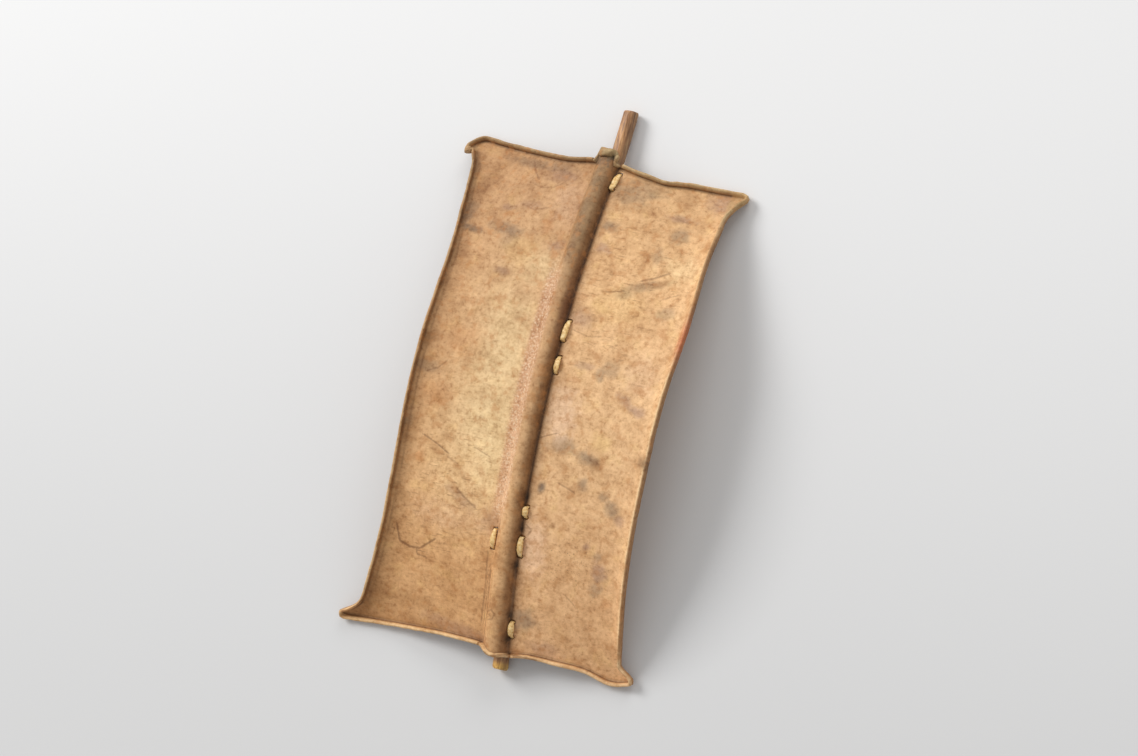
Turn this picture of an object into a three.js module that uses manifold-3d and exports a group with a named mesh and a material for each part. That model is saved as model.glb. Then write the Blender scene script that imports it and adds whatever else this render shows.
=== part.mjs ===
// Hide shield: one sheet of rawhide, moulded with a hollow ridge down its middle and an upturned rim,
// bowed forward over a whittled stick and tied to it with short hide thongs.
// Millimetres. X across, +Y towards the long free end of the stick, +Z out of the front face.
// The shield lies on its back, front upwards, on the plane z = 0.
import * as THREE from "three";
import { mergeVertices } from "three/addons/utils/BufferGeometryUtils.js";
import Module from "manifold-3d";

// ---------------------------------------------------------------- driving dimensions
const HALF_LENGTH = 345; // ridge foot to end rim, half the length of the panel
const HIDE_THICK = 4; // rawhide thickness
const BOW = 70; // how far the middle of the ridge stands forward of its two ends
const FOOT_TOP = 30.5; // height of the panel beside the ridge at the top end
const FOOT_BOTTOM = 25.5; // the same at the bottom end
const ARCH_TOP = 28; // how far the panel falls from the ridge to the side edges, top end
const ARCH_BOTTOM = 23.9; // the same at the bottom end; there is none at the middle
const TURN_UP_MIDDLE = 10; // gradual turn-up of the panel towards the side rims, at the middle
const TURN_UP_END = 4; // the same at the ends
const TURN_UP_WIDTH = 60; // width over which the panel turns up
const TWIST_LEFT = 5.6; // the top end is slightly wound: its left corner is raised and its right one dropped
const TWIST_RIGHT = 6;
const GROUND = 2.3; // the corners are worn flat at this height
const ARCH_WIDTH = 183; // half width at which the arch is complete

const HALF_WIDTH = 183; // half width at the waist
const RIDGE_RIGHT = 16; // ridge centre to its steep right foot
const RIDGE_LEFT = 17.5; // ridge centre to its softer left foot
const RIDGE_HEIGHT = 15.5;

const RIM_THICK = 5.4; // the upturned rim
const RIM_HEIGHT = 10.5; // rim top above the panel's middle surface
const RIM_LEAN = 0.12; // outward lean of the rim
const RIM_INSET = 2.6; // the sheet ends inside the rim

const STICK_RADIUS = 10.9;
const STICK_BOTTOM_END = -365;
const STICK_TOP_END = 426;
const STICK_BOW = 28;
const STICK_TOP_HEIGHT = 10.2; // height of the axis at the top end, and at the bottom end
const STICK_BOTTOM_HEIGHT = 12.5;
const STICK_SIDES = 8;

const THONG_WIDE = 7.5;
const THONG_THICK = 2.2;

// ---------------------------------------------------------------- small functions
const clamp = (t, a, b) => Math.min(Math.max(t, a), b);
const mix = (a, b, t) => a + (b - a) * t;
const bell = (x, centre, width) => Math.exp(-(((x - centre) / width) ** 2));
const ramp = (x, start, length, power) =>
  Math.max(0, (x - start) / length) ** power;

// ---------------------------------------------------------------- outline of the panel, seen from the front
// Distance from the ridge line to the left edge, with the flare and the drawn-out corners.
function leftEdge(y) {
  if (y < 0)
    return (
      HALF_WIDTH +
      1.3 +
      1.2 * bell(y, -140, 45) +
      28 * ramp(-y, 100, 190, 2) +
      25 * ramp(-y, 304, 34, 3)
    );
  return (
    HALF_WIDTH +
    1.3 * Math.max(0, 1 - y / 110) -
    1.5 * bell(y, 165, 60) +
    19.6 * ramp(y, 165, 153, 1.8) +
    13 * ramp(y, 307, 30, 2.5)
  );
}
function rightEdge(y) {
  if (y < 0)
    return (
      HALF_WIDTH -
      7.2 * Math.sin((Math.PI / 2) * Math.min(1, -y / 240)) ** 2 +
      18 * Math.min(1, ramp(-y, 319, 16, 1)) ** 1.5
    );
  return (
    HALF_WIDTH +
    7.5 * bell(y, 140, 85) +
    2.4 * bell(y, 278, 34) +
    20 * ramp(y, 285, 43, 2)
  );
}
// The end edges, as a distance from the middle of the length.
function topEdge(x) {
  const tongue = 19 * clamp((x + 15.5) / 3, 0, 1) * clamp((12 - x) / 5, 0, 1);
  if (x < 0)
    return (
      344 +
      4 * bell(x, -20, 25) +
      12.2 * ramp(-x, 60, 130, 1.3) -
      26 * ramp(-x, 196, 26, 2.2) +
      tongue
    );
  return (
    337.6 +
    9.2 * bell(x, 10, 32) -
    3.5 * bell(x, 88, 20) -
    8 * ramp(x, 190, 18, 2) +
    tongue
  );
}
function bottomEdge(x) {
  const lobe = 11 * bell(x, -4, x < -4 ? 14 : 19);
  if (x < 0)
    return -(
      336 +
      10 * ramp(-x, 80, 168, 1.3) -
      6 * ramp(-x, 245, 12, 2) +
      lobe +
      1.5 * bell(x, 0, 12)
    );
  return -(
    339 +
    2.5 * bell(x, 24, 16) +
    9 * bell(x, 163, 28) * clamp((x - 90) / 40, 0, 1) +
    lobe -
    0.8 * bell(x, 0, 12)
  );
}
const TIPS = { topLeft: 338, topRight: 328, bottomLeft: -338, bottomRight: -341 };

// ---------------------------------------------------------------- surface of the panel
const endShare = (y) => Math.min((y / HALF_LENGTH) ** 2, 1.06);
const footHeight = (y) =>
  mix(FOOT_BOTTOM, FOOT_TOP, (y + HALF_LENGTH) / (2 * HALF_LENGTH)) +
  BOW * (1 - endShare(y));
const archDrop = (y) => (y > 0 ? ARCH_TOP : ARCH_BOTTOM) * endShare(y);
const turnUp = (y) => mix(TURN_UP_MIDDLE, TURN_UP_END, endShare(y));
function panelHeight(x, y) {
  const s = Math.abs(x) / ARCH_WIDTH;
  const fall = s < 1 ? s * s * (2 - s * s) : 1;
  const edge = x < 0 ? leftEdge(y) : rightEdge(y);
  const inward = Math.max(edge - Math.abs(x), 0);
  const up = inward < TURN_UP_WIDTH ? (1 - inward / TURN_UP_WIDTH) ** 2 : 0;
  const twist = y > 0 ? (x > 0 ? TWIST_RIGHT : TWIST_LEFT) * (x / 195) * (y / 350) ** 2 : 0;
  return footHeight(y) - archDrop(y) * fall + turnUp(y) * up - twist;
}
// The ridge widens a little and drifts to the left towards the bottom end.
const ridgeX = (y) => -3 * ramp(-y, 120, 225, 1);
const ridgeSpread = (y) => 2.5 * ramp(-y, 150, 195, 1);
// Rounded ridge: steep on its right side, softer on its left. "narrow" shrinks it for the inner face.
function ridge(x, y, narrow = 0) {
  const d = x - ridgeX(y);
  if (d >= 0) {
    const q = d / (RIDGE_RIGHT + ridgeSpread(y) - narrow);
    return q < 1 ? RIDGE_HEIGHT * (1 - q ** 2.4) ** 0.62 : 0;
  }
  const q = -d / (RIDGE_LEFT + ridgeSpread(y) - narrow);
  return q < 1 ? RIDGE_HEIGHT * (1 - q ** 2.2) ** 0.9 : 0;
}
const frontHeight = (x, y) => panelHeight(x, y) + HIDE_THICK / 2 + ridge(x, y);
const backHeight = (x, y) =>
  panelHeight(x, y) - HIDE_THICK / 2 + ridge(x, y, 4.4);

// ---------------------------------------------------------------- mesh helpers
function fromFaces(points, faces) {
  const g = new THREE.BufferGeometry();
  g.setAttribute(
    "position",
    new THREE.Float32BufferAttribute(points.flat(), 3),
  );
  g.setIndex(faces.flat());
  return g;
}
const wasm = await Module();
wasm.setup();
function toSolid(geometry) {
  const g = geometry.clone();
  for (const name of Object.keys(g.attributes))
    if (name !== "position") g.deleteAttribute(name);
  const m = mergeVertices(g, 1e-4);
  const made = new wasm.Manifold(
    new wasm.Mesh({
      numProp: 3,
      vertProperties: new Float32Array(m.attributes.position.array),
      triVerts: new Uint32Array(m.index.array),
    }),
  );
  if (made.volume() <= 0) throw new Error("inside out");
  return made;
}
function toGeometry(solid) {
  const m = solid.getMesh();
  const n = m.numProp;
  const v = new Float32Array(m.numVert * 3);
  for (let i = 0; i < m.numVert; i++)
    v.set(m.vertProperties.subarray(i * n, i * n + 3), i * 3);
  const g = new THREE.BufferGeometry();
  g.setAttribute("position", new THREE.BufferAttribute(v, 3));
  g.setIndex(new THREE.BufferAttribute(new Uint32Array(m.triVerts), 1));
  g.computeVertexNormals();
  return g;
}

// ---------------------------------------------------------------- the sheet with its ridge
function place(u, v) {
  const side = (y) =>
    (u < 0 ? leftEdge(y) : rightEdge(y)) - RIM_INSET;
  const tip = (s) =>
    u < 0
      ? s > 0
        ? TIPS.topLeft
        : TIPS.bottomLeft
      : s > 0
        ? TIPS.topRight
        : TIPS.bottomRight;
  const hold = (y) => (y > 0 ? Math.min(y, tip(1)) : Math.max(y, tip(-1)));
  let x = u * side(hold(v * HALF_LENGTH));
  const y = mix(bottomEdge(x) + RIM_INSET, topEdge(x) - RIM_INSET, (v + 1) / 2);
  x = u * side(hold(y));
  return [x, y];
}
function sheet() {
  // columns: fractions of the half width, with fixed ones across the ridge
  const us = [-1, -0.96, -0.9, -0.82, -0.7, -0.55, -0.38, -0.22];
  for (const x of [-21, -17.5, -14.5, -11, -6.5, -1.5, 3.5, 7.8, 11.2, 13.7, 15.3, 16.1])
    us.push(x / HALF_WIDTH);
  us.push(0.2, 0.36, 0.54, 0.7, 0.82, 0.9, 0.96, 1);
  const vs = [];
  for (let i = 0; i <= 26; i++) {
    const t = (i / 26) * 2 - 1;
    vs.push(Math.sign(t) * (1 - (1 - Math.abs(t)) ** 1.25)); // closer towards the ends
  }
  const nu = us.length;
  const nv = vs.length;
  const points = [];
  for (const height of [frontHeight, backHeight])
    for (const v of vs)
      for (const u of us) {
        const ridgeColumn = Math.abs(u * HALF_WIDTH) < 22;
        let [x, y] = place(u, v);
        if (ridgeColumn) {
          const d = u * HALF_WIDTH;
          x = ridgeX(y) + d * (1 + ridgeSpread(y) / RIDGE_RIGHT);
          y = mix(bottomEdge(x) + RIM_INSET, topEdge(x) - RIM_INSET, (v + 1) / 2);
        }
        points.push([x, y, height(x, y)]);
      }
  const at = (layer, j, i) => layer * nu * nv + j * nu + i;
  const faces = [];
  for (let j = 0; j < nv - 1; j++)
    for (let i = 0; i < nu - 1; i++) {
      const [a, b, c, d] = [at(0, j, i), at(0, j, i + 1), at(0, j + 1, i + 1), at(0, j + 1, i)];
      faces.push([a, b, c], [a, c, d]);
      const [e, f, g, h] = [at(1, j, i), at(1, j, i + 1), at(1, j + 1, i + 1), at(1, j + 1, i)];
      faces.push([e, g, f], [e, h, g]);
    }
  const wall = (a, b, c, d) => faces.push([a, c, b], [a, d, c]); // a-b on the front, d-c on the back
  for (let i = 0; i < nu - 1; i++) {
    wall(at(0, 0, i), at(0, 0, i + 1), at(1, 0, i + 1), at(1, 0, i));
    wall(at(0, nv - 1, i + 1), at(0, nv - 1, i), at(1, nv - 1, i), at(1, nv - 1, i + 1));
  }
  for (let j = 0; j < nv - 1; j++) {
    wall(at(0, j + 1, 0), at(0, j, 0), at(1, j, 0), at(1, j + 1, 0));
    wall(at(0, j, nu - 1), at(0, j + 1, nu - 1), at(1, j + 1, nu - 1), at(1, j, nu - 1));
  }
  return fromFaces(points, faces);
}

// ---------------------------------------------------------------- the upturned rim, edge by edge
// path(t): a point on the outer edge of the sheet's middle surface; out: a rough outward direction.
const RIM_SECTION = [
  // across (outwards +), up
  [-RIM_THICK, -HIDE_THICK / 2],
  [-1.2, -HIDE_THICK / 2],
  [0.2, 0.4],
  [0.4, 6],
  [-0.6, RIM_HEIGHT - 0.4],
  [-2.4, RIM_HEIGHT],
  [-4.6, RIM_HEIGHT - 0.7],
  [-RIM_THICK, 5.2],
];
function rimStrip(path, steps, outward, lean, scale = () => 1) {
  const rings = [];
  for (let k = 0; k <= steps; k++) {
    const t = k / steps;
    const p = path(t);
    const a = path(Math.max(0, t - 0.004));
    const b = path(Math.min(1, t + 0.004));
    const along = new THREE.Vector3().subVectors(b, a).normalize();
    const flat = new THREE.Vector3(along.y, -along.x, 0).normalize();
    if (flat.dot(outward(t)) < 0) flat.negate();
    // the sheet's normal near this point, then leaned outwards
    const e = 3;
    const q = p.clone().addScaledVector(flat, -8);
    const hx = (surface(q.x + e, q.y) - surface(q.x - e, q.y)) / (2 * e);
    const hy = (surface(q.x, q.y + e) - surface(q.x, q.y - e)) / (2 * e);
    const up = new THREE.Vector3(-hx, -hy, 1).normalize();
    up.addScaledVector(flat, lean(t)).normalize();
    up.addScaledVector(along, -up.dot(along)).normalize();
    const out = new THREE.Vector3().crossVectors(up, along).normalize();
    if (out.dot(flat) < 0) out.negate();
    const s = scale(t);
    rings.push(
      RIM_SECTION.map(([x, z]) =>
        p
          .clone()
          .addScaledVector(out, x)
          .addScaledVector(up, z > 0 ? z * s : z)
          .toArray(),
      ),
    );
  }
  const n = RIM_SECTION.length;
  const faces = [];
  for (let k = 0; k < steps; k++)
    for (let i = 0; i < n; i++) {
      const j = (i + 1) % n;
      const [a, b, c, d] = [k * n + i, k * n + j, (k + 1) * n + j, (k + 1) * n + i];
      faces.push([a, b, c], [a, c, d]);
    }
  for (let i = 1; i < n - 1; i++) {
    faces.push([0, i + 1, i]);
    faces.push([steps * n, steps * n + i, steps * n + i + 1]);
  }
  const g = fromFaces(rings.flat(), faces);
  // turn it the right way out if this edge was walked the other way
  const probe = mergeVertices(g, 1e-4);
  const s = new wasm.Manifold(
    new wasm.Mesh({
      numProp: 3,
      vertProperties: new Float32Array(probe.attributes.position.array),
      triVerts: new Uint32Array(probe.index.array),
    }),
  );
  if (s.volume() > 0) return s;
  return toSolid(fromFaces(rings.flat(), faces.map(([a, b, c]) => [a, c, b])));
}
function surface(x, y) {
  return panelHeight(x, y) + ridge(x, y) * 0.6;
}
const vec = (x, y, z) => new THREE.Vector3(x, y, z);
// spacing that is closer at both ends of an edge
const ease = (t) => 0.5 + Math.sign(t - 0.5) * (0.5 - 0.5 * (1 - Math.abs(2 * t - 1)) ** 1.45);

function leftRim() {
  const path = (t) => {
    const y = mix(TIPS.bottomLeft, TIPS.topLeft, ease(t));
    const x = -leftEdge(y);
    return vec(x, y, panelHeight(x, y));
  };
  return rimStrip(path, 40, () => vec(-1, 0, 0), () => RIM_LEAN);
}
function rightRim() {
  const path = (t) => {
    const y = mix(TIPS.bottomRight, TIPS.topRight, ease(t));
    const x = rightEdge(y);
    return vec(x, y, panelHeight(x, y));
  };
  return rimStrip(path, 36, () => vec(1, 0, 0), () => RIM_LEAN);
}
function endRim(edge, x0, x1, steps, outward, lean, scale) {
  const path = (t) => {
    const x = mix(x0, x1, t);
    const y = edge(x);
    return vec(x, y, panelHeight(x, y) + ridge(x, y));
  };
  return rimStrip(path, steps, () => outward, lean, scale);
}
// The rim at the top stops on each side of the ridge; the ridge runs out in a short cut tongue with a folded lip.
function topRimLeft() {
  return endRim(
    topEdge, -leftEdge(TIPS.topLeft) + 1, -17, 20, vec(0, 1, 0),
    () => RIM_LEAN, (t) => 1 - 0.35 * ramp(t, 0.9, 0.1, 1),
  );
}
function topRimRight() {
  return endRim(
    topEdge, 15.5, rightEdge(TIPS.topRight) - 0.5, 20, vec(0, 1, 0),
    () => RIM_LEAN, (t) => 0.55 + 0.45 * clamp(t / 0.2, 0, 1),
  );
}
function bottomRim() {
  const x0 = -leftEdge(TIPS.bottomLeft) + 1;
  const x1 = rightEdge(TIPS.bottomRight) - 0.5;
  const xAt = (t) => {
    // closer steps across the ridge
    const s = 2 * t - 1;
    return s < 0 ? -30 + (x0 + 30) * ((-s - 0.3) / 0.7) : 26 + (x1 - 26) * ((s - 0.3) / 0.7);
  };
  const path = (t) => {
    const s = 2 * t - 1;
    const x = Math.abs(s) < 0.3 ? mix(-30, 26, (s + 0.3) / 0.6) : xAt(t);
    const y = bottomEdge(x);
    return vec(x, y, panelHeight(x, y) + ridge(x, y));
  };
  const over = (t) => {
    const s = 2 * t - 1;
    return Math.abs(s) < 0.42 ? Math.cos((Math.PI / 2) * (s / 0.42)) ** 2 : 0;
  };
  return rimStrip(
    path, 46, () => vec(0, -1, 0),
    (t) => RIM_LEAN + 0.9 * over(t), (t) => 1 - 0.3 * over(t),
  );
}
// Folded lip on the ridge's top end: a thick, slightly crowned tab.
function foldedLip() {
  const rings = [];
  const xs = [-15.5, -12.5, -8, -3, 2, 5.5, 7.5];
  for (const x of xs) {
    const end = topEdge(clamp(x, -13, 6.5)) + 1.5;
    const s = 1 - ((x + 4) / 12.5) ** 4 * 0.45;
    const z = (y) => frontHeight(clamp(x, -12, 6), Math.min(y, 352));
    const section = [
      [end - 15, -3],
      [end - 1.2, -3.4],
      [end, -0.5],
      [end - 0.6, 3.2 * s],
      [end - 4, 4.4 * s],
      [end - 7.5, 3.2 * s],
      [end - 9.5, 0.2],
    ];
    rings.push(section.map(([y, up]) => [x, y, z(y) + up - 1.5 * (1 - s)]));
  }
  const n = rings[0].length;
  const faces = [];
  for (let k = 0; k < rings.length - 1; k++)
    for (let i = 0; i < n; i++) {
      const j = (i + 1) % n;
      faces.push([k * n + i, (k + 1) * n + i, (k + 1) * n + j]);
      faces.push([k * n + i, (k + 1) * n + j, k * n + j]);
    }
  for (let i = 1; i < n - 1; i++) {
    faces.push([0, i, i + 1]);
    const o = (rings.length - 1) * n;
    faces.push([o, o + i + 1, o + i]);
  }
  const points = rings.flat();
  try {
    return toSolid(fromFaces(points, faces));
  } catch {
    return toSolid(fromFaces(points, faces.map(([a, b, c]) => [a, c, b])));
  }
}

// ---------------------------------------------------------------- stick
const stickX = (y) =>
  1.9 + 3.9 * ((y + 352) / 715) + 2.2 * ramp(y, 345, 81, 1) + 1.2 * ramp(-y, 340, 25, 1);
const stickRadius = (y) =>
  STICK_RADIUS *
  (1 -
    0.02 * Math.sin(y / 61) -
    0.06 * bell(y, 0, 160) +
    0.09 * ramp(-y, 290, 70, 1) +
    0.05 * Math.min(1, ramp(y, 352, 34, 1)));
const stickZ = (y) =>
  mix(STICK_BOTTOM_HEIGHT, STICK_TOP_HEIGHT, (y + 365) / 791) +
  STICK_BOW * (1 - ((y - 26) / 400) ** 2) +
  3.2 * ramp(y, 345, 81, 1.6);
function stick() {
  const profile = [
    [0, STICK_BOTTOM_END],
    [0.62, STICK_BOTTOM_END + 0.4],
    [0.9, STICK_BOTTOM_END + 3.5],
    [1, STICK_BOTTOM_END + 8],
  ];
  const steps = 16;
  for (let i = 1; i < steps; i++)
    profile.push([1, mix(STICK_BOTTOM_END + 8, STICK_TOP_END - 5, i / steps)]);
  profile.push([1, STICK_TOP_END - 5], [0.93, STICK_TOP_END - 1.6], [0.74, STICK_TOP_END], [0, STICK_TOP_END]);
  const g = new THREE.LatheGeometry(
    profile.map(([f, y]) => new THREE.Vector2(f && f * stickRadius(y), y)),
    STICK_SIDES,
    Math.PI / STICK_SIDES,
  );
  const p = g.attributes.position;
  for (let i = 0; i < p.count; i++) {
    const y = p.getY(i);
    p.setX(i, p.getX(i) + stickX(y));
    p.setZ(i, p.getZ(i) + stickZ(y));
  }
  return g;
}

// ---------------------------------------------------------------- thongs
// Each thong shows as one short stitch beside the ridge; behind, it goes once round the stick.
const STITCHES = [
  // name, side of the ridge, middle of the stitch along Y, length, turn of the stitch, standoff from the foot,
  // shift of the loop along the stick
  ["thong_top", 1, 321, 26, 0.12, 3.9],
  ["thong_grip_upper_outer", 1, 102, 30, 0.06, 3.9],
  ["thong_grip_upper_inner", 1, 54, 24, 0, 4.4],
  ["thong_grip_lower_inner", 1, -148, 16, 0, 3.2],
  ["thong_grip_lower_outer", 1, -195, 27, -0.02, 3.2, -5.5],
  ["thong_lower_left", -1, -192, 27, 0.05, 3.4, 5.5],
  ["thong_bottom", 1, -307, 22, 0, 3.2],
];
const stitchX = ([, side, y0, , , off]) =>
  ridgeX(y0) +
  side * ((side > 0 ? RIDGE_RIGHT : RIDGE_LEFT) + ridgeSpread(y0) + off);
// The rings of a thong: place, direction of its width, width and thickness.
function thongRings([name, side, y0, length, turn, off, drift = 0]) {
  const xs = stitchX([name, side, y0, length, turn, off]);
  const x0 = stickX(y0);
  const lean = turn * length * 0.5;
  const ya = y0 - length / 2;
  const yb = y0 + length / 2;
  const lift = THONG_THICK / 2 + 0.6;
  const mid = (x, y) => panelHeight(x, y);
  // draped: the height clears the surface under its middle and both its edges, and its width follows them
  const half = THONG_WIDE * 0.54;
  const front = (x, y) =>
    Math.max(
      frontHeight(x, y),
      (frontHeight(x - half, y) + frontHeight(x + half, y)) / 2,
    ) + lift;
  const drape = (x, y) =>
    vec(2 * half, 0, frontHeight(x + half, y) - frontHeight(x - half, y));
  const across = vec(1, 0, 0);
  const twist = vec(side, 1, 0);
  const along = vec(0, 1, 0);
  const rings = [
    [vec(xs + lean, yb - 2.4, front(xs + lean, yb - 2.4)), drape(xs + lean, yb - 2.4), 1, 1],
    [vec(xs, y0, front(xs, y0) + 0.7), drape(xs, y0), 1.04, 1],
    [vec(xs - lean, ya + 2.4, front(xs - lean, ya + 2.4)), drape(xs - lean, ya + 2.4), 1, 1],
    [vec(xs - lean, ya + 0.9, mid(xs, ya) + 1.6), across, 0.94, 1],
    [vec(xs - lean, ya, mid(xs, ya) - 3.5), across, 0.84, 1.1],
  ];
  // round the stick, from its near side under it and back over it
  const r = stickRadius(y0) + THONG_THICK * 0.62 + 0.75;
  const from = y0 + drift - Math.min(3.2, length * 0.2);
  const to = y0 + drift + Math.min(3.2, length * 0.2);
  const near = mid(xs, ya) - stickZ(ya);
  if (near > 30)
    rings.push([
      vec(mix(xs, x0 + side * r, 0.55), mix(ya, from, 0.45), mix(mid(xs, ya) - 3.5, stickZ(from), 0.5)),
      twist, 0.72, 1.25,
    ]);
  const turns = near > 30 ? 9 : 10;
  for (let k = 0; k <= turns; k++) {
    const angle = (-k / 9) * 1.5 * Math.PI;
    const y = mix(from, to, k / turns);
    rings.push([
      vec(x0 + side * Math.cos(angle) * r, y, stickZ(y) + Math.sin(angle) * r),
      along, 0.66, 1.15,
    ]);
  }
  if (near > 30)
    rings.push([
      vec(mix(x0, xs, 0.6), mix(to, yb, 0.55), mix(stickZ(to) + r, mid(xs, yb) - 3.5, 0.5)),
      twist, 0.72, 1.25,
    ]);
  else
    rings.push([
      vec(mix(x0, xs, 0.78), mix(to, yb, 0.5), mid(xs, mix(to, yb, 0.5)) - HIDE_THICK / 2 - 3.1),
      twist, 0.7, 1,
    ]);
  rings.push(
    [vec(xs + lean, yb, mid(xs, yb) - 3.5), across, 0.84, 1.1],
    [vec(xs + lean, yb - 0.9, mid(xs, yb) + 1.6), across, 0.94, 1],
  );
  return rings;
}
function thong(stitch) {
  const rings = thongRings(stitch);
  const n = rings.length;
  const sides = 6;
  const points = [];
  for (let k = 0; k < n; k++) {
    const [p, wide, w, th] = rings[k];
    const tangent = new THREE.Vector3()
      .subVectors(rings[(k + 1) % n][0], rings[(k + n - 1) % n][0])
      .normalize();
    const want = wide.clone().normalize();
    want.addScaledVector(tangent, -want.dot(tangent)).normalize();
    const thin = new THREE.Vector3().crossVectors(tangent, want).normalize();
    for (let i = 0; i < sides; i++) {
      const a = (i / sides) * 2 * Math.PI;
      points.push(
        p
          .clone()
          .addScaledVector(want, Math.cos(a) * (THONG_WIDE / 2) * w)
          .addScaledVector(thin, Math.sin(a) * (THONG_THICK / 1.73) * th)
          .toArray(),
      );
    }
  }
  const faces = [];
  for (let k = 0; k < n; k++) {
    const m = (k + 1) % n;
    // join each ring to the nearest corners of the next, so that a turn of the width does not cross over
    let best = 0;
    let bestSum = Infinity;
    for (let shift = 0; shift < sides; shift++) {
      let sum = 0;
      for (let i = 0; i < sides; i++) {
        const a = points[k * sides + i];
        const b = points[m * sides + ((i + shift) % sides)];
        sum += Math.hypot(a[0] - b[0], a[1] - b[1], a[2] - b[2]);
      }
      if (sum < bestSum) [best, bestSum] = [shift, sum];
    }
    for (let i = 0; i < sides; i++) {
      const j = (i + 1) % sides;
      const a = k * sides + i;
      const b = k * sides + j;
      const c = m * sides + ((j + best) % sides);
      const d = m * sides + ((i + best) % sides);
      faces.push([a, b, c], [a, c, d]);
    }
  }
  try {
    return toSolid(fromFaces(points, faces));
  } catch {
    return toSolid(fromFaces(points, faces.map(([a, b, c]) => [a, c, b])));
  }
}
// The two slits a thong passes through, as blocks to cut away.
function slits(stitch) {
  const [, , y0, length, turn] = stitch;
  const xs = stitchX(stitch);
  return [-1, 1].map((end) => {
    const y = y0 + (end * length) / 2;
    const slit = new THREE.BoxGeometry(THONG_WIDE + 1.6, 5.6, 16);
    slit.translate(xs + end * turn * length * 0.5, y - end * 0.6, panelHeight(xs, y));
    return toSolid(slit);
  });
}

// ---------------------------------------------------------------- assembly
let hide = toSolid(sheet());
for (const strip of [leftRim(), rightRim(), topRimLeft(), topRimRight(), bottomRim(), foldedLip()])
  hide = hide.add(strip);

const thongs = STITCHES.map(thong);
for (const stitch of STITCHES)
  for (const slit of slits(stitch)) hide = hide.subtract(slit);

// worn flats under the corners, on which the shield lies
const ground = new THREE.BoxGeometry(900, 1200, 60).toNonIndexed();
ground.translate(0, 0, GROUND - 30);
hide = hide.subtract(toSolid(ground));

hide = hide.simplify(0.06);
const hideParts = hide.decompose().sort((a, b) => b.volume() - a.volume());
hide = hideParts[0];

function material(color, roughness) {
  return new THREE.MeshStandardMaterial({ color, roughness, metalness: 0 });
}
const shield = new THREE.Group();
const add = (name, geometry, color, roughness) => {
  const mesh = new THREE.Mesh(geometry, material(color, roughness));
  mesh.name = name;
  shield.add(mesh);
  return mesh;
};
add("hide", toGeometry(hide), 0xc69a66, 0.62);
add("stick", stick(), 0x8a5a3c, 0.55);
STITCHES.forEach((s, i) => add(s[0], toGeometry(thongs[i]), 0xd2a55e, 0.5));

// the frame's origin: under the middle of the whole shield
const box = new THREE.Box3().setFromObject(shield);
shield.position.set(-(box.min.x + box.max.x) / 2, -(box.min.y + box.max.y) / 2, -box.min.z);
const root = new THREE.Group();
root.add(shield);
export default root;
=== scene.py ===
import math

import bpy
import numpy as np
from mathutils import Matrix, Vector


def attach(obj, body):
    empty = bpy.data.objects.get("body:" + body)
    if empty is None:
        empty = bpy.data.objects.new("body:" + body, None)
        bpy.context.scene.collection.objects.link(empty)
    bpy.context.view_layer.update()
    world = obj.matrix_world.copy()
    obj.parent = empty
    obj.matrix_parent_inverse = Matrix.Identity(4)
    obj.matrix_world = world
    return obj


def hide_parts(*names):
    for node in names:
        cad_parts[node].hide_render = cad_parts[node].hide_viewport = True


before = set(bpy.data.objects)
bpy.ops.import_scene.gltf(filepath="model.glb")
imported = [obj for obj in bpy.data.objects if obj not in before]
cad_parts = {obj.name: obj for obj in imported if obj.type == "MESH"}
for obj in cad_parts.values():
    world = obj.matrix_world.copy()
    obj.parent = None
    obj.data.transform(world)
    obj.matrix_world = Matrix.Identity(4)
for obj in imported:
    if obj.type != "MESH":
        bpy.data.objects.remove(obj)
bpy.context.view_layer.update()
MM = 0.001

# The shape functions below work in millimetres about the middle of the hide; this shift takes them to the frame.
SHIFT = np.array([24.7932, -30.5, -2.3])

# ------------------------------------------------------------------ camera (first, everything is judged by it)
CAM_POS = np.array([1366.66, -189.54, 3380.87])
CAM_RIGHT = np.array([0.909119, 0.223179, -0.351702])
CAM_UP = np.array([-0.18374, 0.972628, 0.142249])
cam_data = bpy.data.cameras.new("camera")
cam_data.sensor_fit = "HORIZONTAL"
cam_data.sensor_width = 36.0
cam_data.lens = 36.0 * 2639.345 / 1138.0
cam_data.clip_start = 0.1
cam_data.clip_end = 60.0
cam = bpy.data.objects.new("camera", cam_data)
bpy.context.scene.collection.objects.link(cam)
right = CAM_RIGHT / np.linalg.norm(CAM_RIGHT)
back = np.cross(right, CAM_UP)
back /= np.linalg.norm(back)
up = np.cross(back, right)
pos = (CAM_POS + SHIFT) * MM
cam.matrix_world = Matrix(
    [
        [right[0], up[0], back[0], pos[0]],
        [right[1], up[1], back[1], pos[1]],
        [right[2], up[2], back[2], pos[2]],
        [0, 0, 0, 1],
    ]
)
bpy.context.scene.camera = cam


# ------------------------------------------------------------------ small tools
def ramp(x, start, length, power):
    return np.maximum(0.0, (x - start) / length) ** power


def bell(x, centre, width):
    return np.exp(-(((x - centre) / width) ** 2))


def smooth(a, b, x):
    t = np.clip((x - a) / (b - a), 0.0, 1.0)
    return t * t * (3 - 2 * t)


def mix(a, b, t):
    return a + (b - a) * t


def lin_rgb(r, g, b):
    """sRGB 0..255 to linear."""
    c = np.array([r, g, b], float) / 255.0
    return np.where(c <= 0.04045, c / 12.92, ((c + 0.055) / 1.055) ** 2.4)


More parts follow.
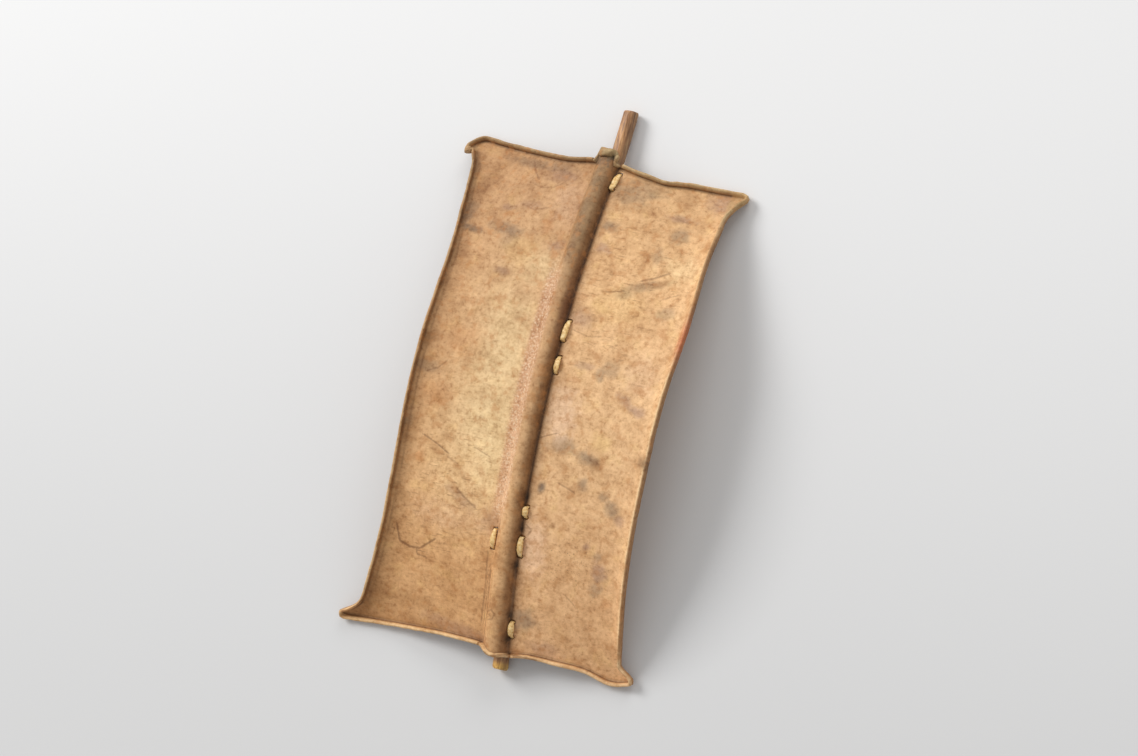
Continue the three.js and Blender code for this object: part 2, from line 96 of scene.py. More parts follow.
class Noise:
    """Gradient noise in two dimensions, seeded."""

    def __init__(self, seed):
        rng = np.random.RandomState(seed)
        self.perm = rng.permutation(512)
        a = rng.uniform(0, 2 * np.pi, 512)
        self.grad = np.stack([np.cos(a), np.sin(a)], -1)

    def __call__(self, x, y):
        x = np.asarray(x, float)
        y = np.asarray(y, float)
        xi = np.floor(x).astype(int)
        yi = np.floor(y).astype(int)
        xf = x - xi
        yf = y - yi
        u = xf * xf * xf * (xf * (xf * 6 - 15) + 10)
        v = yf * yf * yf * (yf * (yf * 6 - 15) + 10)

        def g(i, j):
            h = self.perm[(self.perm[(xi + i) & 511] + yi + j) & 511]
            gr = self.grad[h]
            return gr[..., 0] * (xf - i) + gr[..., 1] * (yf - j)

        n0 = g(0, 0) * (1 - u) + g(1, 0) * u
        n1 = g(0, 1) * (1 - u) + g(1, 1) * u
        return (n0 * (1 - v) + n1 * v) * 1.5


def fbm(noise, x, y, octaves=4, gain=0.5):
    total = 0.0
    amp = 1.0
    norm = 0.0
    for k in range(octaves):
        total = total + amp * noise(x * 2**k + 17.3 * k, y * 2**k - 9.1 * k)
        norm += amp
        amp *= gain
    return total / norm


N1, N2, N3, N4, N5 = (Noise(s) for s in (11, 23, 37, 41, 59))

# ------------------------------------------------------------------ driving dimensions, as in the solid model
HALF_LENGTH = 345.0
HIDE_THICK = 4.0
BOW = 70.0
FOOT_TOP, FOOT_BOTTOM = 30.5, 25.5
ARCH_TOP, ARCH_BOTTOM = 28.0, 23.9
TURN_UP_MIDDLE, TURN_UP_END, TURN_UP_WIDTH = 10.0, 4.0, 60.0
TWIST_LEFT, TWIST_RIGHT = 5.6, 6.0
GROUND = 2.3
ARCH_WIDTH = 183.0
HALF_WIDTH = 183.0
RIDGE_RIGHT, RIDGE_LEFT, RIDGE_HEIGHT = 16.0, 17.5, 15.5
RIM_THICK, RIM_HEIGHT, RIM_LEAN = 4.7, 10.5, 0.12
STICK_RADIUS = 10.9
STICK_BOTTOM_END, STICK_TOP_END = -365.0, 426.0
STICK_BOW, STICK_TOP_HEIGHT, STICK_BOTTOM_HEIGHT = 28.0, 10.2, 12.5
THONG_WIDE, THONG_THICK = 7.5, 2.2
TIP = {"tl": 338.0, "tr": 328.0, "bl": -338.0, "br": -341.0}


def left_edge(y):
    low = (
        HALF_WIDTH
        + 1.3
        + 1.2 * bell(y, -140, 45)
        + 28 * ramp(-y, 100, 190, 2)
        + 25 * ramp(-y, 304, 34, 3)
    )
    high = (
        HALF_WIDTH
        + 1.3 * np.maximum(0, 1 - y / 110)
        - 1.5 * bell(y, 165, 60)
        + 19.6 * ramp(y, 165, 153, 1.8)
        + 13 * ramp(y, 307, 30, 2.5)
    )
    return np.where(y < 0, low, high)


def right_edge(y):
    low = (
        HALF_WIDTH
        - 7.2 * np.sin((np.pi / 2) * np.minimum(1, np.maximum(0, -y) / 240)) ** 2
        + 18 * np.minimum(1, ramp(-y, 319, 16, 1)) ** 1.5
    )
    high = (
        HALF_WIDTH
        + 7.5 * bell(y, 140, 85)
        + 2.4 * bell(y, 278, 34)
        + 20 * ramp(y, 285, 43, 2)
    )
    return np.where(y < 0, low, high)


def top_edge(x):
    tongue = 19 * np.clip((x + 15.5) / 3, 0, 1) * np.clip((12 - x) / 5, 0, 1)
    low = (
        344
        + 4 * bell(x, -20, 25)
        + 12.2 * ramp(-x, 60, 130, 1.3)
        - 26 * ramp(-x, 196, 26, 2.2)
        + tongue
    )
    high = (
        337.6
        + 9.2 * bell(x, 10, 32)
        - 3.5 * bell(x, 88, 20)
        - 8 * ramp(x, 190, 18, 2)
        + tongue
    )
    return np.where(x < 0, low, high)


def bottom_edge(x):
    lobe = 11 * bell(x, -4, np.where(x < -4, 14, 19))
    low = -(
        336
        + 10 * ramp(-x, 80, 168, 1.3)
        - 6 * ramp(-x, 245, 12, 2)
        + lobe
        + 1.5 * bell(x, 0, 12)
    )
    high = -(
        339
        + 2.5 * bell(x, 24, 16)
        + 9 * bell(x, 163, 28) * np.clip((x - 90) / 40, 0, 1)
        + lobe
        - 0.8 * bell(x, 0, 12)
    )
    return np.where(x < 0, low, high)


def end_share(y):
    return np.minimum((y / HALF_LENGTH) ** 2, 1.06)


def foot_height(y):
    return mix(FOOT_BOTTOM, FOOT_TOP, (y + HALF_LENGTH) / (2 * HALF_LENGTH)) + BOW * (
        1 - end_share(y)
    )


def panel_height(x, y):
    s = np.minimum(np.abs(x) / ARCH_WIDTH, 1.0)
    fall = s * s * (2 - s * s)
    arch = np.where(y > 0, ARCH_TOP, ARCH_BOTTOM) * end_share(y)
    turn = mix(TURN_UP_MIDDLE, TURN_UP_END, end_share(y))
    edge = np.where(x < 0, left_edge(y), right_edge(y))
    inward = np.maximum(edge - np.abs(x), 0)
    rise = np.maximum(0, 1 - inward / TURN_UP_WIDTH) ** 2
    twist = np.where(
        y > 0, np.where(x > 0, TWIST_RIGHT, TWIST_LEFT) * (x / 195) * (y / 350) ** 2, 0
    )
    return foot_height(y) - arch * fall + turn * rise - twist


def ridge_x(y):
    return -3 * ramp(-y, 120, 225, 1)


def ridge_spread(y):
    return 2.5 * ramp(-y, 150, 195, 1)


def ridge(x, y, narrow=0.0):
    d = x - ridge_x(y)
    qr = np.clip(d / (RIDGE_RIGHT + ridge_spread(y) - narrow), 0, 1)
    ql = np.clip(-d / (RIDGE_LEFT + ridge_spread(y) - narrow), 0, 1)
    return RIDGE_HEIGHT * np.where(
        d >= 0, (1 - qr**2.4) ** 0.62, (1 - ql**2.2) ** 0.9
    )


def relief(x, y):
    """Dents, wrinkles and worn patches of the hide: the same for both of its faces."""
    z = 1.1 * fbm(N1, x / 95, y / 95, 3)
    z = z + 0.35 * fbm(N2, x / 26, y / 30, 3)
    # the crease along the right foot of the ridge
    d = x - ridge_x(y)
    z = z - 1.2 * bell(d, RIDGE_RIGHT + ridge_spread(y) - 0.4, 2.0)
    # short crosswise wrinkles, strongest on the right panel above the middle and on the left one below it
    w = np.sin(y / 3.4 + 2.5 * fbm(N3, x / 40, y / 40, 2) + x / 37)
    zone = 0.8 * np.exp(-(((x - 85) / 60) ** 2) - ((y - 125) / 40) ** 2) + 0.8 * np.exp(
        -(((x + 95) / 55) ** 2) - ((y + 95) / 45) ** 2
    )
    z = z + 0.22 * w * zone
    return z


def fine(x, y):
    return 0.12 * fbm(N4, x / 8, y / 7, 3)


def right_side(x, y):
    """1 along the right edge, where the panel runs up into its rim without a crease; 0 by the corners."""
    return smooth(-322, -285, y) * (1 - smooth(255, 300, y)) * (x > 60)


def front_height(x, y):
    inward = right_edge(y) - x - RIM_THICK
    fillet = 4.6 * (1 - smooth(0.0, 15.0, inward)) ** 1.6 * right_side(x, y)
    return (
        panel_height(x, y)
        + HIDE_THICK / 2
        + ridge(x, y)
        + relief(x, y)
        + fine(x, y)
        + fillet
    )


def back_height(x, y):
    return (
        panel_height(x, y)
        - HIDE_THICK / 2
        + ridge(x, y, 4.4)
        + relief(x, y)
        - fine(x + 300, y)
    )


# ------------------------------------------------------------------ the hide as one closed sheet
def spread(a, b, n):
    return np.linspace(a, b, n)


def build_hide():
    inset = RIM_THICK
    ridge_d = np.arange(-23.0, 20.01, 1.45)
    us = np.concatenate(
        [
            spread(-1, -23.0 / HALF_WIDTH, 57)[:-1],
            ridge_d / HALF_WIDTH,
            spread(ridge_d[-1] / HALF_WIDTH, 1, 58)[1:],
        ]
    )
    t = np.linspace(-1, 1, 250)
    vs = np.sign(t) * (1 - (1 - np.abs(t)) ** 1.12)
    nu, nv = len(us), len(vs)
    U, V = np.meshgrid(us, vs)  # rows are v

    def side(y):
        return np.where(
            U < 0,
            left_edge(np.clip(y, TIP["bl"], TIP["tl"])),
            right_edge(np.clip(y, TIP["br"], TIP["tr"])),
        ) - inset

    def rows(x):
        return mix(bottom_edge(x) + inset, top_edge(x) - inset, (V + 1) / 2)

    x = U * side(V * HALF_LENGTH)
    y = rows(x)
    for _ in range(2):
        x = U * side(y)
        y = rows(x)
    # the ridge's own columns keep to the ridge
    d = U * HALF_WIDTH
    xr = ridge_x(y) + d * (1 + ridge_spread(y) / RIDGE_RIGHT)
    w = 1 - smooth(24, 60, np.abs(d))
    x = mix(x, xr, w)
    y = rows(x)

    zf = front_height(x, y)
    zb = back_height(x, y)
    F = np.stack([x, y, zf], -1)
    B = np.stack([x, y, zb], -1)

    # boundary, anticlockwise seen from the front: bottom, right, top, left
    loop = (
        [(0, i) for i in range(nu - 1)]
        + [(j, nu - 1) for j in range(nv - 1)]
        + [(nv - 1, i) for i in range(nu - 1, 0, -1)]
        + [(j, 0) for j in range(nv - 1, 0, -1)]
    )
    L = np.array(loop)
    n = len(L)
    fb = F[L[:, 0], L[:, 1]]
    bb = B[L[:, 0], L[:, 1]]
    # outward direction in plan, mitred at the corners
    seg = np.roll(fb[:, :2], -1, 0) - fb[:, :2]
    seg /= np.linalg.norm(seg, axis=1)[:, None] + 1e-9
    nrm = np.stack([seg[:, 1], -seg[:, 0]], -1)
    prev = np.roll(nrm, 1, 0)
    out = nrm + prev
    length = np.linalg.norm(out, axis=1)
    out /= length[:, None]
    cosine = np.clip((out * nrm).sum(1), 0.55, 1)
    miter = 1 / cosine
    for _ in range(5):
        out = (np.roll(out, 1, 0) + 2 * out + np.roll(out, -1, 0)) / 4
        out /= np.linalg.norm(out, axis=1)[:, None]
        miter = (np.roll(miter, 1) + 2 * miter + np.roll(miter, -1)) / 4
    # the sheet's normal a little inside the edge, leaned outwards
    q = fb[:, :2] - 3 * out
    e = 4.0
    smooth_z = lambda a, b: panel_height(a, b) + ridge(a, b)
    hx = (smooth_z(q[:, 0] + e, q[:, 1]) - smooth_z(q[:, 0] - e, q[:, 1])) / (2 * e)
    hy = (smooth_z(q[:, 0], q[:, 1] + e) - smooth_z(q[:, 0], q[:, 1] - e)) / (2 * e)
    upv = np.stack([-hx, -hy, np.ones(n)], -1)
    upv /= np.linalg.norm(upv, axis=1)[:, None]
    out3 = np.concatenate([out, np.zeros((n, 1))], 1)
    # keep the outward direction in the sheet
    out3 -= upv * (out3 * upv).sum(1)[:, None]
    out3 /= np.linalg.norm(out3, axis=1)[:, None]
    upv = upv + RIM_LEAN * out3
    upv /= np.linalg.norm(upv, axis=1)[:, None]

    arc = np.concatenate([[0], np.cumsum(np.linalg.norm(fb[1:] - fb[:-1], axis=1))])
    total = arc[-1] + np.linalg.norm(fb[0] - fb[-1])
    ang = arc / total * 2 * np.pi
    ring = lambda k, seed: fbm(
        seed, np.cos(ang) * total / (2 * np.pi * k), np.sin(ang) * total / (2 * np.pi * k), 3
    )
    over_top = np.where(fb[:, 1] > 300, 1, 0) * (
        1 - smooth(13, 19, np.abs(fb[:, 0] - 1))
    )
    over_bottom = np.where(fb[:, 1] < -300, 1, 0) * (
        1 - smooth(10, 26, np.abs(fb[:, 0] + 3))
    )
    high = 0.92 + 0.16 * ring(45, N1) + 0.10 * ring(12, N2)
    high = high * (1 - 0.60 * right_side(fb[:, 0], fb[:, 1]) * (fb[:, 0] > 150))
    high = high * (1 - 0.72 * over_top) * (1 - 0.45 * over_bottom)
    wide = (1 + 0.12 * ring(38, N3) + 0.07 * ring(9, N4)) * RIM_THICK / 5.4

    section = [
        # outwards from the inner foot, upwards, measured from the front face
        (0.15, 1.6),
        (0.35, 3.6),
        (0.5, 5.6),
        (0.8, 7.2),
        (1.5, 8.2),
        (2.7, 8.6),
        (4.0, 8.25),
        (4.9, 7.3),
        (5.45, 5.6),
        (5.7, 3.4),
        (5.75, 1.2),
    ]
    lower = [
        # measured from the back face
        (5.5, 2.4),
        (5.0, 0.9),
        (3.9, 0.15),
        (2.0, 0.0),
    ]
    rings = []
    for k, (a, b) in enumerate(section):
        wob = 0.18 * ring(6 + k, (N1, N2, N3, N4, N5)[k % 5])
        rings.append(
            fb
            + out3 * ((a * wide * miter + wob)[:, None])
            + upv * ((b * high + 0.6 * wob)[:, None])
        )
    for a, b in lower:
        rings.append(bb + out3 * ((a * wide * miter)[:, None]) + upv * (b * np.ones(n))[:, None])

    verts = [F.reshape(-1, 3), B.reshape(-1, 3)] + rings
    offset = 2 * nu * nv
    verts = np.concatenate(verts)
    verts[:, 2] = np.maximum(verts[:, 2], GROUND)

    jj, ii = np.meshgrid(np.arange(nv - 1), np.arange(nu - 1), indexing="ij")
    a = (jj * nu + ii).ravel()
    front = np.stack([a, a + 1, a + nu + 1, a + nu], -1)
    back = np.stack([a, a + nu, a + nu + 1, a + 1], -1) + nu * nv
    faces = [front, back]
    fidx = L[:, 0] * nu + L[:, 1]
    chain = [fidx] + [offset + k * n + np.arange(n) for k in range(len(rings))] + [
        fidx + nu * nv
    ]
    for p, q2 in zip(chain[:-1], chain[1:]):
        # walking anticlockwise: p is nearer the front face
        faces.append(np.stack([p, q2, np.roll(q2, -1), np.roll(p, -1)], -1))
    faces = np.concatenate(faces)
    return verts, faces


def lump(centre, radii, turn, seed, rough=0.10):
    """A rounded knob of hide."""
    nu, nv = 22, 14
    verts, faces = [], []
    for j in range(nv + 1):
        b = -math.pi / 2 + math.pi * j / nv
        for i in range(nu):
            a = 2 * math.pi * i / nu
            d = np.array([math.cos(a) * math.cos(b), math.sin(a) * math.cos(b), math.sin(b)])
            d = np.sign(d) * np.abs(d) ** 0.85
            k = 1 + rough * float(N2(d[0] * 1.7 + seed, d[1] * 1.7 + d[2] * 1.3)) + 0.5 * rough * float(
                N3(d[0] * 5 + seed, d[1] * 5 - d[2] * 4)
            )
            v = d * np.array(radii) * k
            c, s_ = math.cos(turn), math.sin(turn)
            verts.append(
                (
                    centre[0] + v[0] * c - v[1] * s_,
                    centre[1] + v[0] * s_ + v[1] * c,
                    centre[2] + v[2],
                )
            )
    for j in range(nv):
        for i in range(nu):
            k = (i + 1) % nu
            faces.append([j * nu + i, j * nu + k, (j + 1) * nu + k, (j + 1) * nu + i])
    return verts, faces


def fold_roll():
    """The hide's own end, rolled over at the top of the ridge."""
    verts, faces = [], []
    xs = np.linspace(-14.2, 9.6, 26)
    sides = 22
    for k, x in enumerate(xs):
        e = min(k, len(xs) - 1 - k)
        r = (0.55, 0.8, 0.93, 1.0)[min(e, 3)]
        y = 359.4 + 0.5 * math.sin(x / 4.0) + 0.10 * x
        z = float(panel_height(x, 352.0)) + float(ridge(x, 345.0)) * 0.86 + 4.6
        for i in range(sides):
            a = 2 * math.pi * i / sides
            w = 1 + 0.10 * float(N3(x / 3.2, a * 1.1)) + 0.05 * math.cos(3 * a + x / 3)
            verts.append((x, y + 5.4 * r * w * math.cos(a), z + 4.6 * r * w * math.sin(a)))
    for k in range(len(xs) - 1):
        for i in range(sides):
            j = (i + 1) % sides
            faces.append([k * sides + i, k * sides + j, (k + 1) * sides + j, (k + 1) * sides + i])
    faces.append([i for i in range(sides)][::-1])
    faces.append([(len(xs) - 1) * sides + i for i in range(sides)])
    return verts, faces


def mesh_object(name, verts_mm, faces, smooth_shade=True):
    me = bpy.data.meshes.new(name)
    v = (np.asarray(verts_mm) + SHIFT) * MM
    me.from_pydata(v.tolist(), [], [list(map(int, f)) for f in faces])
    me.update()
    if smooth_shade:
        me.polygons.foreach_set("use_smooth", [True] * len(me.polygons))
    ob = bpy.data.objects.new(name, me)
    bpy.context.scene.collection.objects.link(ob)
    return ob


def verts_of(ob):
    co = np.empty(len(ob.data.vertices) * 3)
    ob.data.vertices.foreach_get("co", co)
    return co.reshape(-1, 3) / MM - SHIFT


# ------------------------------------------------------------------ stick
def stick_x(y):
    return 1.9 + 3.9 * ((y + 352) / 715) + 2.2 * ramp(y, 345, 81, 1) + 1.2 * ramp(-y, 340, 25, 1)


def stick_radius(y):
    return STICK_RADIUS * (
        1
        - 0.02 * np.sin(y / 61)
        - 0.06 * bell(y, 0, 160)
        + 0.09 * ramp(-y, 290, 70, 1)
        + 0.05 * np.minimum(1, ramp(y, 352, 34, 1))
    )


def stick_z(y):
    return mix(STICK_BOTTOM_HEIGHT, STICK_TOP_HEIGHT, (y + 365) / 791) + STICK_BOW * (
        1 - ((y - 26) / 400) ** 2
    ) + 3.2 * ramp(y, 345, 81, 1.6)


def build_stick():
    sides = 40
    ys = np.concatenate(
        [
            [STICK_BOTTOM_END, STICK_BOTTOM_END + 0.6, STICK_BOTTOM_END + 2.0],
            np.linspace(STICK_BOTTOM_END + 4, STICK_TOP_END - 3, 210),
            [STICK_TOP_END - 1.4, STICK_TOP_END - 0.5, STICK_TOP_END],
        ]
    )
    shrink = np.ones(len(ys))
    shrink[:3] = [0.74, 0.86, 0.95]
    shrink[-3:] = [0.95, 0.9, 0.82]
    rings = []
    for y, s in zip(ys, shrink):
        a = np.arange(sides) / sides * 2 * np.pi
        # whittled facets: eight flats whose width wanders along the stick
        r = np.full(sides, 1e9)
        for k in range(8):
            ak = (k + 0.5) / 8 * 2 * np.pi + 0.10 * N2(k * 3.7, y / 140)
            dk = 0.945 + 0.035 * N3(k * 5.1 + 0.3, y / 90) + 0.012 * N4(k * 2.3, y / 17)
            c = np.cos(a - ak)
            r = np.minimum(r, np.where(c > 0.2, dk / np.maximum(c, 0.2), 1e9))
        r = np.minimum(r, 1.005) * s * stick_radius(y)
        rings.append(
            np.stack(
                [stick_x(y) + r * np.cos(a), np.full(sides, y), stick_z(y) + r * np.sin(a)],
                -1,
            )
        )
    verts = np.concatenate(rings + [
        [[stick_x(ys[0]), ys[0] - 0.0, stick_z(ys[0])]],
        [[stick_x(ys[-1]), ys[-1], stick_z(ys[-1])]],
    ])
    faces = []
    for j in range(len(ys) - 1):
        for i in range(sides):
            k = (i + 1) % sides
            faces.append([j * sides + i, (j + 1) * sides + i, (j + 1) * sides + k, j * sides + k])
    c0 = len(ys) * sides
    for i in range(sides):
        k = (i + 1) % sides
        faces.append([c0, i, k])
        faces.append([c0 + 1, (len(ys) - 1) * sides + k, (len(ys) - 1) * sides + i])
    return verts, faces


# ------------------------------------------------------------------ thongs
STITCHES = [
    ("thong_top", 1, 321, 26, 0.12, 3.9, 0),
    ("thong_grip_upper_outer", 1, 102, 30, 0.06, 3.9, 0),
    ("thong_grip_upper_inner", 1, 54, 24, 0, 4.4, 0),
    ("thong_grip_lower_inner", 1, -148, 16, 0, 3.2, 0),
    ("thong_grip_lower_outer", 1, -195, 27, -0.02, 3.2, -5.5),
    ("thong_lower_left", -1, -192, 27, 0.05, 3.4, 5.5),
    ("thong_bottom", 1, -307, 22, 0, 3.2, 0),
]


def stitch_x(s):
    _, side, y0, _, _, off, _ = s
    return float(
        ridge_x(y0) + side * ((RIDGE_RIGHT if side > 0 else RIDGE_LEFT) + ridge_spread(y0) + off)
    )


def thong_rings(s):
    name, side, y0, length, turn, off, drift = s
    xs = stitch_x(s)
    x0 = stick_x(y0)
    lean = turn * length * 0.5
    ya, yb = y0 - length / 2, y0 + length / 2
    lift = THONG_THICK / 2 + 0.5
    half = THONG_WIDE * 0.54
    mid = lambda x, y: float(panel_height(x, y) + relief(x, y))

    def front(x, y):
        return float(
            max(
                front_height(x, y),
                (front_height(x - half, y) + front_height(x + half, y)) / 2,
            )
            + lift
        )

    def drape(x, y):
        return (2 * half, 0.0, float(front_height(x + half, y) - front_height(x - half, y)))

    across, twist, along = (1, 0, 0), (side, 1, 0), (0, 1, 0)
    rings = [
        ((xs + lean, yb - 2.6, front(xs + lean, yb - 2.6)), drape(xs + lean, yb - 2.6), 0.78, 1.3),
        ((xs + lean * 0.5, y0 + length * 0.22, front(xs, y0 + length * 0.2) + 1.5), drape(xs, y0), 1.04, 1.8),
        ((xs, y0, front(xs, y0) + 1.9), drape(xs, y0), 1.12, 2.1),
        ((xs - lean * 0.5, y0 - length * 0.22, front(xs, y0 - length * 0.2) + 1.5), drape(xs, y0), 1.06, 1.8),
        ((xs - lean, ya + 2.6, front(xs - lean, ya + 2.6)), drape(xs - lean, ya + 2.6), 0.80, 1.3),
        ((xs - lean, ya + 0.9, mid(xs, ya) + 1.6), across, 0.84, 1),
        ((xs - lean, ya, mid(xs, ya) - 3.5), across, 0.84, 1.1),
    ]
    r = float(stick_radius(y0)) + THONG_THICK * 0.62 + 0.7
    start = y0 + drift - min(3.2, length * 0.2)
    stop = y0 + drift + min(3.2, length * 0.2)
    near = mid(xs, ya) - stick_z(ya)
    if near > 30:
        rings.append(
            (
                (
                    mix(xs, x0 + side * r, 0.55),
                    mix(ya, start, 0.45),
                    mix(mid(xs, ya) - 3.5, stick_z(start), 0.5),
                ),
                twist,
                0.72,
                1.25,
            )
        )
    turns = 9 if near > 30 else 10
    for k in range(turns + 1):
        angle = (-k / 9) * 1.5 * math.pi
        y = mix(start, stop, k / turns)
        rings.append(
            (
                (x0 + side * math.cos(angle) * r, y, stick_z(y) + math.sin(angle) * r),
                along,
                0.66,
                1.15,
            )
        )
    if near > 30:
        rings.append(
            (
                (
                    mix(x0, xs, 0.6),
                    mix(stop, yb, 0.55),
                    mix(stick_z(stop) + r, mid(xs, yb) - 3.5, 0.5),
                ),
                twist,
                0.72,
                1.25,
            )
        )
    else:
        rings.append(
            (
                (
                    mix(x0, xs, 0.78),
                    mix(stop, yb, 0.5),
                    mid(xs, mix(stop, yb, 0.5)) - HIDE_THICK / 2 - 3.1,
                ),
                twist,
                0.7,
                1,
            )
        )
    rings += [
        ((xs + lean, yb, mid(xs, yb) - 3.5), across, 0.84, 1.1),
        ((xs + lean, yb - 0.9, mid(xs, yb) + 1.6), across, 0.82, 1),
    ]
    return rings


def catmull(values, steps):
    """Closed centripetal-like smoothing through the rings, steps between each two."""
    p = np.asarray(values, float)
    out = []
    n = len(p)
    for k in range(n):
        p0, p1, p2, p3 = p[(k - 1) % n], p[k], p[(k + 1) % n], p[(k + 2) % n]
        for i in range(steps):
            t = i / steps
            # tension keeps the turns from overshooting
            m1 = (p2 - p0) * 0.38
            m2 = (p3 - p1) * 0.38
            seg = np.linalg.norm((p2 - p1)[:3]) + 1e-6
            for m in (m1, m2):
                ln = np.linalg.norm(m[:3])
                if ln > seg * 1.2:
                    m *= seg * 1.2 / ln
            t2, t3 = t * t, t * t * t
            out.append(
                (2 * t3 - 3 * t2 + 1) * p1
                + (t3 - 2 * t2 + t) * m1
                + (-2 * t3 + 3 * t2) * p2
                + (t3 - t2) * m2
            )
    return np.array(out)


def build_thong(s, seed):
    raw = []
    for p, wide, w, th in thong_rings(s):
        wv = np.array(wide, float)
        wv /= np.linalg.norm(wv)
        raw.append(list(p) + list(wv) + [w, th])
    c = catmull(raw, 6)
    n = len(c)
    sides = 18
    a = np.arange(sides) / sides * 2 * np.pi
    ca, sa = np.cos(a), np.sin(a)
    # a flattened strip with soft edges
    px = np.sign(ca) * np.abs(ca) ** 0.92
    pz = np.sign(sa) * np.abs(sa) ** 0.95
    verts = []
    tangents = np.roll(c[:, :3], -1, 0) - np.roll(c[:, :3], 1, 0)
    tangents /= np.linalg.norm(tangents, axis=1)[:, None]
    last = None
    rings = []
    for k in range(n):
        want = c[k, 3:6].copy()
        want -= tangents[k] * (want @ tangents[k])
        want /= np.linalg.norm(want) + 1e-9
        if last is not None and want @ last < 0:
            want = -want
        last = want
        thin = np.cross(tangents[k], want)
        w = THONG_WIDE / 2 * c[k, 6] * (1 + 0.10 * N1(k * 0.16 + seed, 0.5))
        h = THONG_THICK / 2 * c[k, 7] * (1 + 0.14 * N2(k * 0.2 + seed, 0.5))
        bump = 1 + 0.06 * N3(np.cos(a) * 1.5 + seed, np.sin(a) * 1.5 + k * 0.15)
        rings.append(
            c[k, :3]
            + want * (px * w * bump)[:, None]
            + thin * (pz * h * bump)[:, None]
        )
    faces = []
    flip = (c[0, 3:6] @ last) < 0
    for k in range(n):
        m = (k + 1) % n
        shift = sides // 2 if (m == 0 and _flipped(rings, sides)) else 0
        for i in range(sides):
            j = (i + 1) % sides
            faces.append(
                [
                    k * sides + i,
                    k * sides + j,
                    m * sides + (j + shift) % sides,
                    m * sides + (i + shift) % sides,
                ]
            )
    return np.concatenate(rings), faces


def _flipped(rings, sides):
    a = rings[-1]
    b = rings[0]
    straight = np.linalg.norm(a - b, axis=1).sum()
    turned = np.linalg.norm(a - np.roll(b, -(sides // 2), 0), axis=1).sum()
    return turned < straight


# ------------------------------------------------------------------ make the pieces
def outward(ob):
    """Turns the faces out if the mesh came out the other way round."""
    import bmesh

    bm = bmesh.new()
    bm.from_mesh(ob.data)
    if bm.calc_volume(signed=True) < 0:
        bmesh.ops.reverse_faces(bm, faces=bm.faces)
    bm.to_mesh(ob.data)
    bm.free()


hide = mesh_object("rawhide_sheet", *build_hide())
outward(hide)
stick = mesh_object("whittled_stick", *build_stick())
outward(stick)
thongs = []
for k, s in enumerate(STITCHES):
    ob = mesh_object("strip_" + s[0], *build_thong(s, 7.0 * k + 3))
    outward(ob)
    thongs.append(ob)


# slits under the ends of each stitch
def slit_cutter():
    verts, faces = [], []
    for s in STITCHES:
        _, side, y0, length, turn, off, _ = s
        xs = stitch_x(s)
        for end in (-1, 1):
            y = y0 + end * length / 2
            cx = xs + end * turn * length * 0.5
            cy = y - end * 0.6
            cz = float(panel_height(xs, y))
            n = 20
            base = len(verts)
            for lev, (z, g) in enumerate(((-14, 1.0), (1.0, 1.0), (14, 1.35))):
                for i in range(n):
                    t = i / n * 2 * math.pi
                    rx = (THONG_WIDE / 2 + 0.3) * g
                    ry = 2.7 * g
                    ct, st = math.cos(t), math.sin(t)
                    e = 0.6
                    wob = 1 + 0.07 * math.sin(3 * t + s[2] + end)
                    verts.append(
                        (
                            cx + rx * math.copysign(abs(ct) ** e, ct) * wob,
                            cy + ry * math.copysign(abs(st) ** e, st) * wob,
                            cz + z,
                        )
                    )
            for lev in range(2):
                for i in range(n):
                    j = (i + 1) % n
                    a = base + lev * n
                    faces.append([a + i, a + j, a + n + j, a + n + i])
            faces.append([base + i for i in range(n)][::-1])
            faces.append([base + 2 * n + i for i in range(n)])
    return verts, faces


cutter = mesh_object("cutter", *slit_cutter())
outward(cutter)
mod = hide.modifiers.new("slits", "BOOLEAN")
mod.operation = "DIFFERENCE"
mod.solver = "MANIFOLD"
mod.object = cutter
dg = bpy.context.evaluated_depsgraph_get()
cut = bpy.data.meshes.new_from_object(hide.evaluated_get(dg))
if len(cut.vertices) < 1000:
    raise RuntimeError("the slits were not cut")
hide.modifiers.clear()
old = hide.data
hide.data = cut
cut.name = "rawhide_sheet"
bpy.data.meshes.remove(old)
bpy.data.objects.remove(cutter)


def add_islands(ob, parts):
    import bmesh

    bm = bmesh.new()
    bm.from_mesh(ob.data)
    for verts, faces in parts:
        made = [bm.verts.new(tuple((np.array(v) + SHIFT) * MM)) for v in verts]
        got = []
        for f in faces:
            try:
                got.append(bm.faces.new([made[i] for i in f]))
            except ValueError:
                pass
        bmesh.ops.remove_doubles(bm, verts=made, dist=1e-7)
        got = [f for f in got if f.is_valid]
        bmesh.ops.recalc_face_normals(bm, faces=got)
    bm.to_mesh(ob.data)
    bm.free()


def rim_top(x, y):
    return float(panel_height(x, y)) + 7.0


add_islands(
    hide,
    [
        fold_roll(),
        lump((13.2, 353.6, float(panel_height(13.2, 345.0)) + 11.0), (3.4, 5.2, 3.4), -0.35, 4.0),
        lump((-215.5, 334.0, rim_top(-209.0, 332.0) - 0.8), (4.6, 5.4, 4.2), 0.5, 9.0),
    ],
)
hide.data.polygons.foreach_set("use_smooth", [True] * len(hide.data.polygons))


# ------------------------------------------------------------------ colour of the hide, by place
TAN = lin_rgb(222, 174, 122)
GREY = lin_rgb(132, 108, 84)
PURPLE = lin_rgb(158, 120, 98)
BROWN = lin_rgb(160, 112, 66)
PALE = lin_rgb(243, 212, 158)
PINK = lin_rgb(226, 184, 146)
YELLOW = lin_rgb(230, 186, 120)
ORANGE = lin_rgb(206, 140, 82)
DARK = lin_rgb(84, 56, 32)

